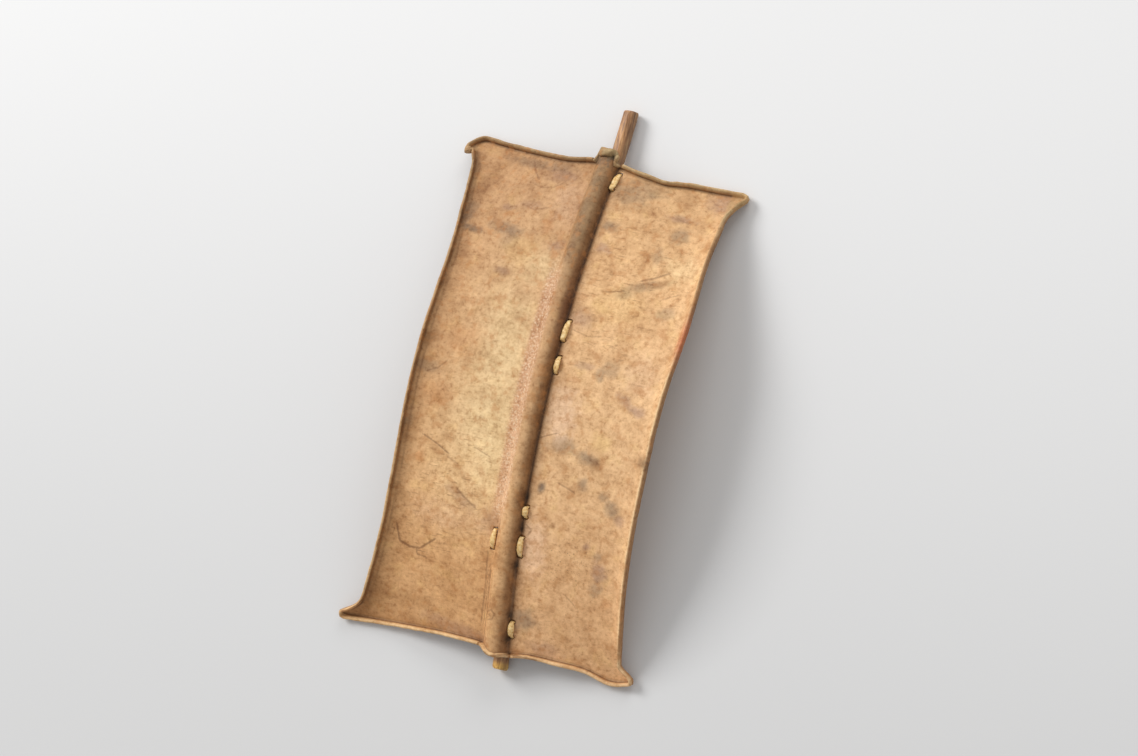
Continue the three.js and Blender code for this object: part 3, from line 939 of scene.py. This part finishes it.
# stains: centre, half sizes, turn, strength, colour
STAINS = [
    (-160, 220, 15, 6, -0.1, 0.75, GREY), (-112, 228, 30, 10, -0.15, 0.55, GREY),
    (-104, 214, 16, 16, 0.2, 0.35, GREY), (-172, 285, 12, 34, -0.3, 0.45, BROWN),
    (-178, 240, 12, 22, -0.3, 0.55, GREY), (-118, 330, 44, 8, -0.08, 0.50, GREY),
    (-60, 318, 26, 11, 0.0, 0.50, PURPLE), (-66, 330, 26, 9, 0.0, 0.35, GREY),
    (-124, 259, 11, 5, 0.0, 0.50, PURPLE), (-90, 268, 20, 7, 0.1, 0.35, PURPLE),
    (-54, 243, 9, 16, 0.0, 0.40, ORANGE), (-32, 216, 12, 9, 0.3, 0.50, PURPLE),
    (-98, 168, 15, 6, -0.1, 0.50, PURPLE), (-80, 200, 30, 26, 0.0, 0.40, YELLOW),
    (-42, 182, 26, 24, 0.0, 0.60, PALE), (-35, 280, 26, 34, 0.2, 0.40, PINK),
    (-187, 90, 8, 15, 0.0, 0.70, BROWN), (-172, 58, 18, 12, 0.2, 0.55, BROWN),
    (-166, 18, 22, 10, 0.0, 0.40, GREY), (-177, -58, 9, 9, 0.0, 0.40, GREY),
    (-152, -104, 8, 9, 0.0, 0.45, ORANGE), (-142, -16, 26, 20, 0.0, 0.35, ORANGE),
    (-120, 60, 34, 30, 0.2, 0.35, ORANGE), (-82, -148, 30, 8, -0.5, 0.40, PURPLE),
    (-100, -175, 60, 22, 0.0, 0.30, PINK), (-35, -55, 34, 70, 0.0, 0.75, PALE),
    (-62, 70, 40, 70, 0.0, 0.55, PALE), (-30, -170, 20, 20, 0.0, 0.35, PURPLE),
    (-150, -300, 30, 12, 0.0, 0.35, BROWN), (-205, -300, 30, 34, 0.6, 0.65, BROWN),
    (-226, -325, 22, 16, 0.0, 0.60, BROWN), (-60, -325, 70, 10, -0.15, 0.40, PURPLE),
    (35, 256, 15, 8, 0.0, 0.65, GREY), (36, 224, 13, 8, -0.2, 0.60, PURPLE),
    (46, 308, 32, 20, 0.0, 0.50, GREY), (70, 322, 30, 10, -0.2, 0.30, GREY),
    (126, 286, 20, 6, 0.0, 0.60, PURPLE), (132, 262, 15, 12, 0.2, 0.55, GREY),
    (112, 228, 9, 12, 0.4, 0.40, GREY), (106, 181, 30, 8, 0.35, 0.55, GREY),
    (130, 190, 20, 5, 0.5, 0.60, BROWN), (86, 165, 15, 6, 0.2, 0.50, GREY),
    (175, 322, 26, 20, -0.2, 0.60, PURPLE), (150, 150, 18, 9, 0.4, 0.40, GREY),
    (35, 122, 20, 15, 0.0, 0.50, PURPLE), (58, 60, 16, 6, 0.0, 0.45, PURPLE),
    (95, 62, 16, 14, 0.3, 0.40, GREY), (84, 50, 8, 8, 0.0, 0.50, GREY),
    (128, 24, 18, 7, -0.5, 0.55, PURPLE), (150, 12, 12, 8, -0.3, 0.60, PURPLE),
    (52, -50, 22, 12, 0.0, 0.55, GREY), (94, -62, 18, 9, -0.3, 0.65, GREY),
    (106, -70, 12, 8, -0.6, 0.55, BROWN), (92, -96, 8, 9, 0.0, 0.60, GREY),
    (35, -111, 7, 9, -0.3, 0.95, GREY), (124, -106, 9, 6, 0.0, 0.50, GREY),
    (140, -122, 14, 10, -0.6, 0.65, GREY), (152, -134, 8, 8, 0.0, 0.45, PURPLE),
    (60, -158, 4, 5, 0.0, 0.80, BROWN), (110, -176, 5, 5, 0.0, 0.65, PURPLE),
    (130, -186, 8, 6, 0.0, 0.50, GREY), (132, -206, 13, 15, 0.0, 0.60, PURPLE),
    (130, -228, 10, 12, 0.0, 0.45, GREY), (148, -246, 9, 6, 0.0, 0.40, ORANGE),
    (32, -291, 24, 15, 0.0, 0.65, GREY), (66, -325, 26, 12, 0.0, 0.35, PURPLE),
    (36, -192, 22, 42, 0.1, 0.55, PINK), (42, -8, 26, 44, 0.1, 0.60, PINK),
    (108, -40, 18, 14, 0.0, 0.45, YELLOW), (85, 150, 40, 30, 0.0, 0.30, YELLOW),
    (150, 215, 30, 22, 0.0, 0.30, PALE), (140, 60, 26, 30, 0.0, 0.30, PINK),
]


def hide_paint(P):
    x, y, z = P[:, 0], P[:, 1], P[:, 2]
    n = len(P)
    mid = panel_height(x, y) + relief(x, y)
    h = z - mid  # height above the sheet's middle
    d = x - ridge_x(y)
    sp = ridge_spread(y)
    side_in = np.minimum(x + left_edge(y), right_edge(y) - x)
    end_in = np.minimum(top_edge(x) - y, y - bottom_edge(x))
    inward = np.minimum(side_in, end_in)
    wob = fbm(N1, x / 60, y / 60, 4)
    wob2 = fbm(N2, x / 22, y / 22, 4)
    wob3 = fbm(N5, x / 9, y / 9, 3)
    c = np.tile(TAN, (n, 1))

    def blend(c, colour, w):
        return c + (np.asarray(colour) - c) * np.clip(w, 0, 1)[:, None]

    # brighter, yellower belly of the left panel, browner ends; the belly's lift is partly the hide's own paler tone,
    # partly painted light where the panel faces the light
    w = np.exp(-(((x + 70) / 62) ** 2) - ((y + 5) / 185) ** 2) * (x < -8)
    c = blend(c, PALE, 0.80 * w * (1 + 0.5 * wob))
    c = blend(c, lin_rgb(196, 146, 96), 0.75 * smooth(-120, -230, y) * (x < 0) * (1 + 0.5 * wob))
    c = blend(c, lin_rgb(202, 156, 108), 0.55 * smooth(180, 320, y) * (1 + 0.6 * wob))
    c = blend(c, lin_rgb(210, 162, 112), 0.45 * smooth(-180, -320, y) * (x > 0))
    c = blend(c, lin_rgb(176, 128, 82), 0.30 * smooth(0.05, 0.6, wob2))
    c = blend(c, YELLOW, 0.35 * smooth(0.05, 0.6, -wob2))
    # painted shade, partly dirt: towards the left rim and along the bottom-left end the panel darkens
    shade = (1 - smooth(8, 34, x + left_edge(y))) * (x < 0)
    c = blend(c, lin_rgb(168, 122, 76), 0.40 * shade * (1 + 0.5 * wob2))
    low = (1 - smooth(5, 24, y - bottom_edge(x))) * (x < -20)
    c = blend(c, lin_rgb(150, 106, 66), 0.42 * low)
    # stains
    for cx, cy, rx, ry, turn, strength, colour in STAINS:
        co, si = math.cos(turn), math.sin(turn)
        u = ((x - cx) * co + (y - cy) * si) / rx
        v = (-(x - cx) * si + (y - cy) * co) / ry
        r = np.sqrt(u * u + v * v) + 0.55 * wob3 + 0.35 * wob2
        c = blend(c, colour, strength * (1 - smooth(0.35, 1.35, r)))
    # the ridge: greyer at the top, brown on its crown; painted shade darkens the right half of its crown, its right
    # flank and most of all the groove at its right foot, the side turned from the light
    crown = smooth(-RIDGE_LEFT - 6, -3, d) * (1 - smooth(RIDGE_RIGHT + 1, RIDGE_RIGHT + 5, d))
    c = blend(c, lin_rgb(200, 156, 108), 0.70 * crown * (1 + 0.7 * wob2))
    # painted shade over the right half of the crown
    c = blend(c, lin_rgb(164, 122, 80), 0.55 * crown * smooth(-4, 8, d) * (1 + 0.7 * wob3))
    c = blend(c, lin_rgb(142, 112, 76), 0.75 * crown * smooth(110, 250, y) * (1 + 0.5 * wob2))
    worn = smooth(-34, -24, d) * (1 - smooth(-11, -3, d)) * smooth(-190, -120, y) * (1 - smooth(150, 215, y))
    c = blend(c, lin_rgb(226, 180, 140), 0.80 * worn * (1 + 0.4 * wob3))
    edge = bell(d, -27, 2.6) * smooth(-190, -120, y) * (1 - smooth(120, 200, y))
    c = blend(c, lin_rgb(206, 146, 98), 0.5 * edge)
    # painted shade down the right flank
    flank = smooth(4.5, 13, d) * (1 - smooth(RIDGE_RIGHT + sp + 0.5, RIDGE_RIGHT + sp + 5, d))
    c = blend(c, lin_rgb(134, 90, 50), 0.75 * flank * (1 + 0.5 * wob2))
    c = blend(c, lin_rgb(112, 70, 48), 0.6 * flank * bell(y, 130, 60))
    # painted shade in the groove at the ridge's right foot
    groove = bell(d, RIDGE_RIGHT + sp + 0.3, 2.0)
    c = blend(c, lin_rgb(70, 42, 24), 0.85 * groove)
    # painted shadow of the ridge on the right panel just beside it
    beside = smooth(RIDGE_RIGHT, RIDGE_RIGHT + 2, d) * (1 - smooth(RIDGE_RIGHT + 3, RIDGE_RIGHT + 20, d))
    c = blend(c, lin_rgb(176, 132, 92), 0.45 * beside)
    # around the lower slits the groove is painted nearly black: painted shade in the slit holes
    for yy in (-128, -170, -222, -290, -322):
        c = blend(c, lin_rgb(34, 22, 14), 0.85 * bell(d, RIDGE_RIGHT + 1, 3.2) * bell(y, yy, 7))
    # rims: brown sides, partly the cut edge's own colour and partly painted shade; a lighter top, partly painted
    # highlight
    a = RIM_THICK - inward
    rim = (inward < RIM_THICK - 0.05).astype(float)
    right = right_side(x, y) * (side_in < end_in)
    top = smooth(5.8, 7.4, h)
    foot = (1 - smooth(3.2, 5.6, h)) * (a < 2.6)
    colour_wob = 1 + 0.35 * wob3
    c = blend(c, lin_rgb(158, 114, 72), 0.85 * rim * (1 - top))
    # painted shade: the dark inner foot of the rim
    c = blend(c, lin_rgb(66, 42, 24), 0.85 * rim * foot * (1 - right) * colour_wob)
    c = blend(c, lin_rgb(206, 170, 122), 0.85 * rim * top * colour_wob)
    c = blend(c, lin_rgb(176, 146, 102), 0.5 * rim * top * smooth(250, 330, y))
    # painted shade in the crease just inside the rim
    crease = (1 - smooth(RIM_THICK, RIM_THICK + 3.0, inward)) * (1 - rim) * (1 - right)
    c = blend(c, lin_rgb(98, 66, 38), 0.55 * crease * colour_wob)
    # painted highlight: a light line along the right rim's inner edge
    c = blend(c, lin_rgb(236, 202, 150), 0.8 * right * bell(inward, RIM_THICK + 0.3, 1.8) * (1 - smooth(120, 200, y)))
    # the right rim's brown outer face: partly the cut edge's own colour, partly painted shade
    c = blend(c, lin_rgb(142, 98, 58), 0.85 * right * rim * smooth(1.0, 2.6, a))
    red = right * (1 - smooth(7, 12, inward)) * bell(y, 120, 30)
    c = blend(c, lin_rgb(186, 88, 48), 0.65 * red)
    notch = bell(x, 178, 14) * bell(y, -52, 9) * (x > 165)
    c = blend(c, lin_rgb(112, 82, 56), 0.7 * notch)
    # horns and the folded end; painted shade under the roll and a painted shadow beside the knob on it
    horn = (x > 178) * smooth(300, 318, y)
    c = blend(c, lin_rgb(190, 152, 100), 0.6 * horn)
    roll = (y > 353.2) * (x > -19) * (x < 15) * (h > 3)
    c = blend(c, lin_rgb(186, 158, 112), 0.9 * roll * (1 + 0.6 * wob3))
    # painted shade under the rolled end
    under = (y > 340) * (y < 354.5) * (x > -17) * (x < 8)
    c = blend(c, lin_rgb(120, 98, 74), 0.75 * under)
    # painted shadow: a near-black spot beside the knob
    c = blend(c, lin_rgb(40, 28, 18), 0.95 * bell(x, 9.5, 2.8) * bell(y, 353, 5.0))
    knob = (x < -207) * (y > 326) * (y < 342)
    c = blend(c, lin_rgb(200, 162, 114), 0.8 * knob)
    # the hidden back is plainer and a little darker
    back = 1 - smooth(-1.2, 0.4, h - ridge(x, y) * 0.5)
    c = blend(c, lin_rgb(176, 134, 92), 0.6 * back * (1 - rim))
    # the tone is evened out along each panel
    left = np.stack([np.interp(y, [-260, -200, -20, 250], v) for v in (
        [1.12, 1.12, 0.86, 0.74], [1.20, 1.20, 0.88, 0.76], [1.32, 1.32, 0.95, 0.83])], -1)
    right_ = np.stack([np.interp(y, [-280, -60, 200], v) for v in (
        [1.12, 1.02, 0.98], [1.20, 1.15, 1.08], [1.38, 1.36, 1.22])], -1)
    c = c * mix(left, right_, smooth(-14, 26, x)[:, None])
    return np.clip(c, 0.001, 1)


CREASES = [
    ([(-172, -203), (-166, -224), (-150, -229), (-134, -228), (-112, -211)], 1.2, 0.75),
    ([(-141, -227), (-138, -237), (-124, -238)], 1.0, 0.6),
    ([(-150, -75), (-128, -84), (-110, -93)], 0.9, 0.6),
    ([(-110, -98), (-94, -104)], 0.9, 0.4), ([(-72, -78), (-48, -86)], 0.8, 0.4),
    ([(-88, -138), (-72, -149), (-58, -157)], 1.3, 0.55),
    ([(-29, -212), (-27, -255), (-28, -305)], 1.1, 0.5),
    ([(-22, -235), (-19, -285), (-21, -330)], 1.3, 0.6),
    ([(-13, -170), (-17, -190)], 1.0, 0.5), ([(42, -36), (20, -46)], 0.9, 0.55),
    ([(58, -101), (82, -109)], 1.0, 0.5), ([(102, 189), (120, 197), (136, 207)], 1.2, 0.6),
    ([(60, 165), (84, 171)], 0.9, 0.5), ([(-112, 332), (-104, 318), (-94, 308)], 1.1, 0.55),
    ([(-100, 300), (-84, 296), (-66, 299), (-56, 306)], 0.9, 0.35),
    ([(-104, 268), (-84, 262), (-62, 268)], 0.9, 0.35),
    ([(-18, -292), (-9, -287), (-3, -292), (-6, -300), (-14, -301)], 0.9, 0.45),
    ([(140, 170), (160, 180)], 0.9, 0.35), ([(30, 105), (52, 100), (70, 103)], 0.9, 0.35),
    ([(-140, 30), (-150, 18), (-163, 12)], 0.9, 0.4), ([(22, -165), (30, -170), (26, -178)], 1.0, 0.5),
    ([(-14, -345), (-4, -350), (8, -345), (22, -341), (60, -340)], 1.2, 0.7),
    ([(112, 286), (140, 282)], 0.9, 0.35), ([(90, -246), (103, -256)], 0.8, 0.35),
]


def marks(P):
    x, y = P[:, 0], P[:, 1]
    best = np.full(len(x), 9.0)
    sign = np.ones(len(x))
    win = np.zeros(len(x))
    for pts, half, strength in CREASES:
        for k in range(len(pts) - 1):
            (ax, ay), (bx, by) = pts[k], pts[k + 1]
            dx, dy = bx - ax, by - ay
            length = math.hypot(dx, dy)
            raw = ((x - ax) * dx + (y - ay) * dy) / length**2
            t = np.clip(raw, 0, 1)
            px, py = x - (ax + dx * t), y - (ay + dy * t)
            dist = np.hypot(px, py) / half
            over = np.zeros(len(x))
            if k == 0:
                over += np.maximum(0, -raw) * length
            if k == len(pts) - 2:
                over += np.maximum(0, raw - 1) * length
            near = dist < best
            sign = np.where(near, np.where(dx * py - dy * px < 0, -1.0, 1.0), sign)
            win = np.where(near, strength * (1 - np.clip(over / 4, 0, 1)) * (dist < 6), win)
            best = np.where(near, dist, best)
    # a fine crease line a little inside the left rim, drawn dark as painted shade like the other creases
    line = (x + left_edge(y) - RIM_THICK - 6.0 - 1.5 * fbm(N1, x / 40, y / 60, 2)) / 1.1
    take = (np.abs(line) < best) & (x < 0) & (np.abs(y) < 318)
    best_s = np.where(take, line, best * sign)
    win = np.where(take, 0.45 * (np.abs(line) < 6) * (0.6 + 0.8 * fbm(N3, x / 30, y / 30, 2)), win)
    speck = np.exp(-(((x - 92) / 48) ** 2) - ((y + 205) / 42) ** 2) + 0.12
    return np.stack([np.clip(best_s, -9, 9), np.clip(win, 0, 1), np.clip(speck, 0, 1)], -1)


def wear(P):
    x, y = P[:, 0], P[:, 1]
    d = x - ridge_x(y)
    worn = smooth(-34, -26, d) * (1 - smooth(-11, -4, d)) * smooth(-190, -130, y) * (1 - smooth(150, 215, y))
    cross = np.exp(-(((x - 85) / 70) ** 2) - ((y - 160) / 110) ** 2) + 0.8 * np.exp(
        -(((x + 95) / 70) ** 2) - ((y + 150) / 110) ** 2
    )
    return np.stack([worn, np.clip(cross + 0.35, 0, 1), np.zeros(len(x))], -1)


def set_vector(ob, name, values):
    at = ob.data.attributes.new(name, "FLOAT_VECTOR", "POINT")
    at.data.foreach_set("vector", np.asarray(values, np.float32).ravel())


def set_colour(ob, name, rgb):
    at = ob.data.color_attributes.new(name, "FLOAT_COLOR", "POINT")
    a = np.ones((len(ob.data.vertices), 4), np.float32)
    a[:, :3] = rgb
    at.data.foreach_set("color", a.ravel())


set_colour(hide, "tone", hide_paint(verts_of(hide)))
set_vector(hide, "mark", marks(verts_of(hide)))
set_vector(hide, "wear", wear(verts_of(hide)))
P = verts_of(stick)
stick_tone = np.ones((len(P), 3))
stick_tone *= np.array([1.12, 1.26, 1.08]) + (np.array([1.7, 2.0, 1.05]) - 1) * smooth(-352, -360, P[:, 1])[:, None]
# painted shade: the stick darkens down its right side, away from the light
stick_tone *= (1 - 0.35 * smooth(2.0, 9.0, P[:, 0] - stick_x(P[:, 1])))[:, None]
set_colour(stick, "tone", stick_tone)


# ------------------------------------------------------------------ materials
def new_material(name):
    m = bpy.data.materials.new(name)
    m.use_nodes = True
    nt = m.node_tree
    for node in list(nt.nodes):
        nt.nodes.remove(node)
    out = nt.nodes.new("ShaderNodeOutputMaterial")
    bsdf = nt.nodes.new("ShaderNodeBsdfPrincipled")
    nt.links.new(bsdf.outputs[0], out.inputs[0])
    return m, nt, bsdf


def node(nt, kind, **values):
    nd = nt.nodes.new(kind)
    for key, value in values.items():
        if key.startswith("in_"):
            nd.inputs[key[3:].replace("_", " ")].default_value = value
        else:
            setattr(nd, key, value)
    return nd


def noise_node(nt, vector, scale, detail=4.0, rough=0.55):
    nd = nt.nodes.new("ShaderNodeTexNoise")
    nd.inputs["Scale"].default_value = scale
    nd.inputs["Detail"].default_value = detail
    nd.inputs["Roughness"].default_value = rough
    nt.links.new(vector, nd.inputs["Vector"])
    return nd


def ramp_node(nt, source, stops):
    nd = nt.nodes.new("ShaderNodeValToRGB")
    el = nd.color_ramp.elements
    while len(el) < len(stops):
        el.new(0.5)
    for e, (p, c) in zip(el, stops):
        e.position = p
        e.color = (c, c, c, 1) if np.isscalar(c) else (*c, 1)
    nt.links.new(source, nd.inputs[0])
    return nd


def multiply(nt, a, b, factor=1.0):
    nd = nt.nodes.new("ShaderNodeMix")
    nd.data_type = "RGBA"
    nd.blend_type = "MULTIPLY"
    nd.inputs[0].default_value = factor
    nt.links.new(a, nd.inputs[6])
    nt.links.new(b, nd.inputs[7])
    return nd.outputs[2]


def math_node(nt, op, a, b=None, clamp=False):
    nd = nt.nodes.new("ShaderNodeMath")
    nd.operation = op
    nd.use_clamp = clamp
    for k, v in enumerate((a, b)):
        if v is None:
            continue
        if isinstance(v, (int, float)):
            nd.inputs[k].default_value = v
        else:
            nt.links.new(v, nd.inputs[k])
    return nd.outputs[0]


def step_node(nt, source, a, b):
    nd = nt.nodes.new("ShaderNodeMapRange")
    nd.interpolation_type = "SMOOTHSTEP"
    nd.inputs["From Min"].default_value = a
    nd.inputs["From Max"].default_value = b
    nt.links.new(source, nd.inputs["Value"])
    return nd.outputs["Result"]


def tint(nt, base, colour, factor):
    nd = nt.nodes.new("ShaderNodeMix")
    nd.data_type = "RGBA"
    nd.blend_type = "MIX"
    nt.links.new(factor, nd.inputs[0])
    nt.links.new(base, nd.inputs[6])
    nd.inputs[7].default_value = (*colour, 1)
    return nd.outputs[2]


def hide_material():
    m, nt, bsdf = new_material("rawhide_worn")
    tc = nt.nodes.new("ShaderNodeTexCoord")
    obj = tc.outputs["Object"]
    tone = node(nt, "ShaderNodeAttribute", attribute_name="tone")
    mark = node(nt, "ShaderNodeAttribute", attribute_name="mark")
    wear_ = node(nt, "ShaderNodeAttribute", attribute_name="wear")
    ms = nt.nodes.new("ShaderNodeSeparateXYZ")
    nt.links.new(mark.outputs["Vector"], ms.inputs[0])
    ws = nt.nodes.new("ShaderNodeSeparateXYZ")
    nt.links.new(wear_.outputs["Vector"], ws.inputs[0])
    col = tone.outputs["Color"]
    # cloudy staining
    n1 = noise_node(nt, obj, 34, 8, 0.66)
    r1 = ramp_node(nt, n1.outputs[0], [(0.30, (0.64, 0.51, 0.40)), (0.43, (0.92, 0.86, 0.79)), (0.56, (1.06, 1.04, 1.02)), (0.72, (1.18, 1.16, 1.12))])
    col = multiply(nt, col, r1.outputs[0], 0.85)
    # fine mottling
    n2 = noise_node(nt, obj, 170, 8, 0.68)
    r2 = ramp_node(nt, n2.outputs[0], [(0.31, (0.62, 0.49, 0.38)), (0.46, (0.97, 0.93, 0.88)), (0.68, (1.20, 1.18, 1.14))])
    col = multiply(nt, col, r2.outputs[0], 0.85)
    # warm blotches
    n5 = noise_node(nt, obj, 75, 6, 0.6)
    col = tint(nt, col, tuple(lin_rgb(184, 124, 70)), math_node(nt, "MULTIPLY", step_node(nt, n5.outputs[0], 0.50, 0.68), 0.46))
    # crosswise grain and wrinkles
    mp = node(nt, "ShaderNodeMapping")
    mp.inputs["Scale"].default_value = (0.22, 1.0, 0.6)
    nt.links.new(obj, mp.inputs["Vector"])
    n4 = noise_node(nt, mp.outputs[0], 260, 5, 0.6)
    r4 = step_node(nt, n4.outputs[0], 0.56, 0.68)
    col = tint(nt, col, tuple(lin_rgb(142, 98, 58)), math_node(nt, "MULTIPLY", math_node(nt, "MULTIPLY", r4, ws.outputs[1]), 0.5))
    # dark pin speckle, everywhere a little, gathered in one zone
    n3 = noise_node(nt, obj, 430, 3, 0.55)
    edge = math_node(nt, "SUBTRACT", 0.735, math_node(nt, "MULTIPLY", ms.outputs[2], 0.10))
    sp = math_node(nt, "MULTIPLY", math_node(nt, "SUBTRACT", n3.outputs[0], edge), 22.0, True)
    col = tint(nt, col, tuple(lin_rgb(86, 56, 34)), math_node(nt, "MULTIPLY", sp, 0.8))
    # pitted, flaking skin on the ridge's left face
    n6 = noise_node(nt, obj, 330, 5, 0.6)
    pit = math_node(nt, "MULTIPLY", step_node(nt, n6.outputs[0], 0.50, 0.62), ws.outputs[0])
    col = tint(nt, col, tuple(lin_rgb(246, 222, 188)), math_node(nt, "MULTIPLY", pit, 0.55))
    pit2 = math_node(nt, "MULTIPLY", math_node(nt, "SUBTRACT", 1.0, step_node(nt, n6.outputs[0], 0.36, 0.46)), ws.outputs[0])
    col = tint(nt, col, tuple(lin_rgb(150, 98, 66)), math_node(nt, "MULTIPLY", pit2, 0.5))
    # creases drawn by their distance, broken up a little: dark lines of painted shade in the creases
    away = math_node(nt, "ADD", math_node(nt, "ABSOLUTE", ms.outputs[0]), math_node(nt, "MULTIPLY", math_node(nt, "SUBTRACT", n2.outputs[0], 0.5), 2.4))
    line = math_node(nt, "MULTIPLY", math_node(nt, "SUBTRACT", 1.0, step_node(nt, away, 0.0, 2.3)), math_node(nt, "MULTIPLY", ms.outputs[1], 0.85))
    col = tint(nt, col, tuple(lin_rgb(116, 76, 46)), line)
    nt.links.new(col, bsdf.inputs["Base Color"])
    rr = ramp_node(nt, n2.outputs[0], [(0.3, 0.74), (0.7, 0.52)])
    nt.links.new(rr.outputs[0], bsdf.inputs["Roughness"])
    bsdf.inputs["Specular IOR Level"].default_value = 0.32
    height = math_node(nt, "ADD", n2.outputs[0], math_node(nt, "MULTIPLY", line, -0.9))
    height = math_node(nt, "ADD", height, math_node(nt, "MULTIPLY", math_node(nt, "MULTIPLY", n4.outputs[0], ws.outputs[1]), 0.9))
    height = math_node(nt, "ADD", height, math_node(nt, "MULTIPLY", pit, 0.5))
    b1 = nt.nodes.new("ShaderNodeBump")
    b1.inputs["Strength"].default_value = 0.45
    b1.inputs["Distance"].default_value = 0.0013
    nt.links.new(height, b1.inputs["Height"])
    b2 = nt.nodes.new("ShaderNodeBump")
    b2.inputs["Strength"].default_value = 0.3
    b2.inputs["Distance"].default_value = 0.0006
    nt.links.new(n3.outputs[0], b2.inputs["Height"])
    nt.links.new(b1.outputs[0], b2.inputs["Normal"])
    nt.links.new(b2.outputs[0], bsdf.inputs["Normal"])
    return m


def stick_material():
    m, nt, bsdf = new_material("whittled_wood")
    tc = nt.nodes.new("ShaderNodeTexCoord")
    mp = node(nt, "ShaderNodeMapping")
    mp.inputs["Scale"].default_value = (1.0, 0.08, 1.0)
    nt.links.new(tc.outputs["Object"], mp.inputs["Vector"])
    g = noise_node(nt, mp.outputs[0], 420, 6, 0.6)
    r = ramp_node(
        nt,
        g.outputs[0],
        [
            (0.3, tuple(lin_rgb(104, 62, 40))),
            (0.5, tuple(lin_rgb(170, 116, 82))),
            (0.72, tuple(lin_rgb(206, 154, 114))),
        ],
    )
    n = noise_node(nt, tc.outputs["Object"], 45, 5, 0.6)
    r2 = ramp_node(nt, n.outputs[0], [(0.3, 0.6), (0.6, 1.05)])
    col = multiply(nt, r.outputs[0], r2.outputs[0], 0.7)
    place = node(nt, "ShaderNodeAttribute", attribute_name="tone")
    col = multiply(nt, col, place.outputs["Color"], 1.0)
    nt.links.new(col, bsdf.inputs["Base Color"])
    bsdf.inputs["Roughness"].default_value = 0.5
    b = nt.nodes.new("ShaderNodeBump")
    b.inputs["Strength"].default_value = 0.4
    b.inputs["Distance"].default_value = 0.0006
    nt.links.new(g.outputs[0], b.inputs["Height"])
    nt.links.new(b.outputs[0], bsdf.inputs["Normal"])
    return m


def thong_material():
    m, nt, bsdf = new_material("dried_hide_strip")
    tc = nt.nodes.new("ShaderNodeTexCoord")
    n = noise_node(nt, tc.outputs["Object"], 260, 6, 0.6)
    r = ramp_node(
        nt,
        n.outputs[0],
        [
            (0.28, tuple(lin_rgb(172, 126, 68))),
            (0.48, tuple(lin_rgb(232, 190, 122))),
            (0.7, tuple(lin_rgb(250, 224, 170))),
        ],
    )
    nt.links.new(r.outputs[0], bsdf.inputs["Base Color"])
    bsdf.inputs["Roughness"].default_value = 0.42
    b = nt.nodes.new("ShaderNodeBump")
    b.inputs["Strength"].default_value = 0.3
    b.inputs["Distance"].default_value = 0.0008
    nt.links.new(n.outputs[0], b.inputs["Height"])
    nt.links.new(b.outputs[0], bsdf.inputs["Normal"])
    return m


hide.data.materials.clear()
hide.data.materials.append(hide_material())
stick.data.materials.append(stick_material())
strip = thong_material()
for ob in thongs:
    ob.data.materials.append(strip)

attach(hide, "root")
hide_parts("hide")
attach(stick, "root")
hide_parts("stick")
for s, ob in zip(STITCHES, thongs):
    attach(ob, "root")
    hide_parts(s[0])

# ------------------------------------------------------------------ floor and light
bpy.ops.mesh.primitive_plane_add(size=24, location=(0, 0, -0.0004))
floor = bpy.context.object
floor.name = "floor"
fm, fnt, fb = new_material("floor_paper")
floor_place = fnt.nodes.new("ShaderNodeTexCoord")
floor_split = fnt.nodes.new("ShaderNodeSeparateXYZ")
fnt.links.new(floor_place.outputs["Object"], floor_split.inputs[0])
# painted light fall-off: the floor's colour runs from darker at the bottom of the view to lighter at the top
floor_painted_falloff = fnt.nodes.new("ShaderNodeMapRange")
floor_painted_falloff.interpolation_type = "SMOOTHSTEP"
floor_painted_falloff.inputs["From Min"].default_value = -0.75
floor_painted_falloff.inputs["From Max"].default_value = 0.65
floor_painted_falloff.inputs["To Min"].default_value = 0.67
floor_painted_falloff.inputs["To Max"].default_value = 0.815
fnt.links.new(floor_split.outputs[1], floor_painted_falloff.inputs["Value"])
fnt.links.new(floor_painted_falloff.outputs["Result"], fb.inputs["Base Color"])
fb.inputs["Roughness"].default_value = 0.9
fb.inputs["Specular IOR Level"].default_value = 0.1
floor.data.materials.append(fm)

scene = bpy.context.scene
scene.view_settings.view_transform = "Standard"
scene.view_settings.look = "None"
scene.view_settings.exposure = 0.0
scene.view_settings.gamma = 1.0
world = bpy.data.worlds.new("studio")
scene.world = world
world.use_nodes = True
world.node_tree.nodes["Background"].inputs[0].default_value = (1.0, 0.995, 0.99, 1)
world.node_tree.nodes["Background"].inputs[1].default_value = 0.50


def area_light(name, position, target, size, power, colour=(1, 1, 1)):
    data = bpy.data.lights.new(name, "AREA")
    data.shape = "RECTANGLE"
    data.size, data.size_y = size
    data.energy = power
    data.color = colour
    ob = bpy.data.objects.new(name, data)
    scene.collection.objects.link(ob)
    ob.location = position
    direction = Vector(target) - Vector(position)
    ob.rotation_euler = direction.to_track_quat("-Z", "Y").to_euler()
    return ob


area_light("key", (-5.5, 3.1, 5.4), (0, 0, 0.05), (3.7, 3.7), 465)
area_light("top", (0.9, 4.4, 2.6), (0, 0, 0.05), (3.2, 1.8), 66)
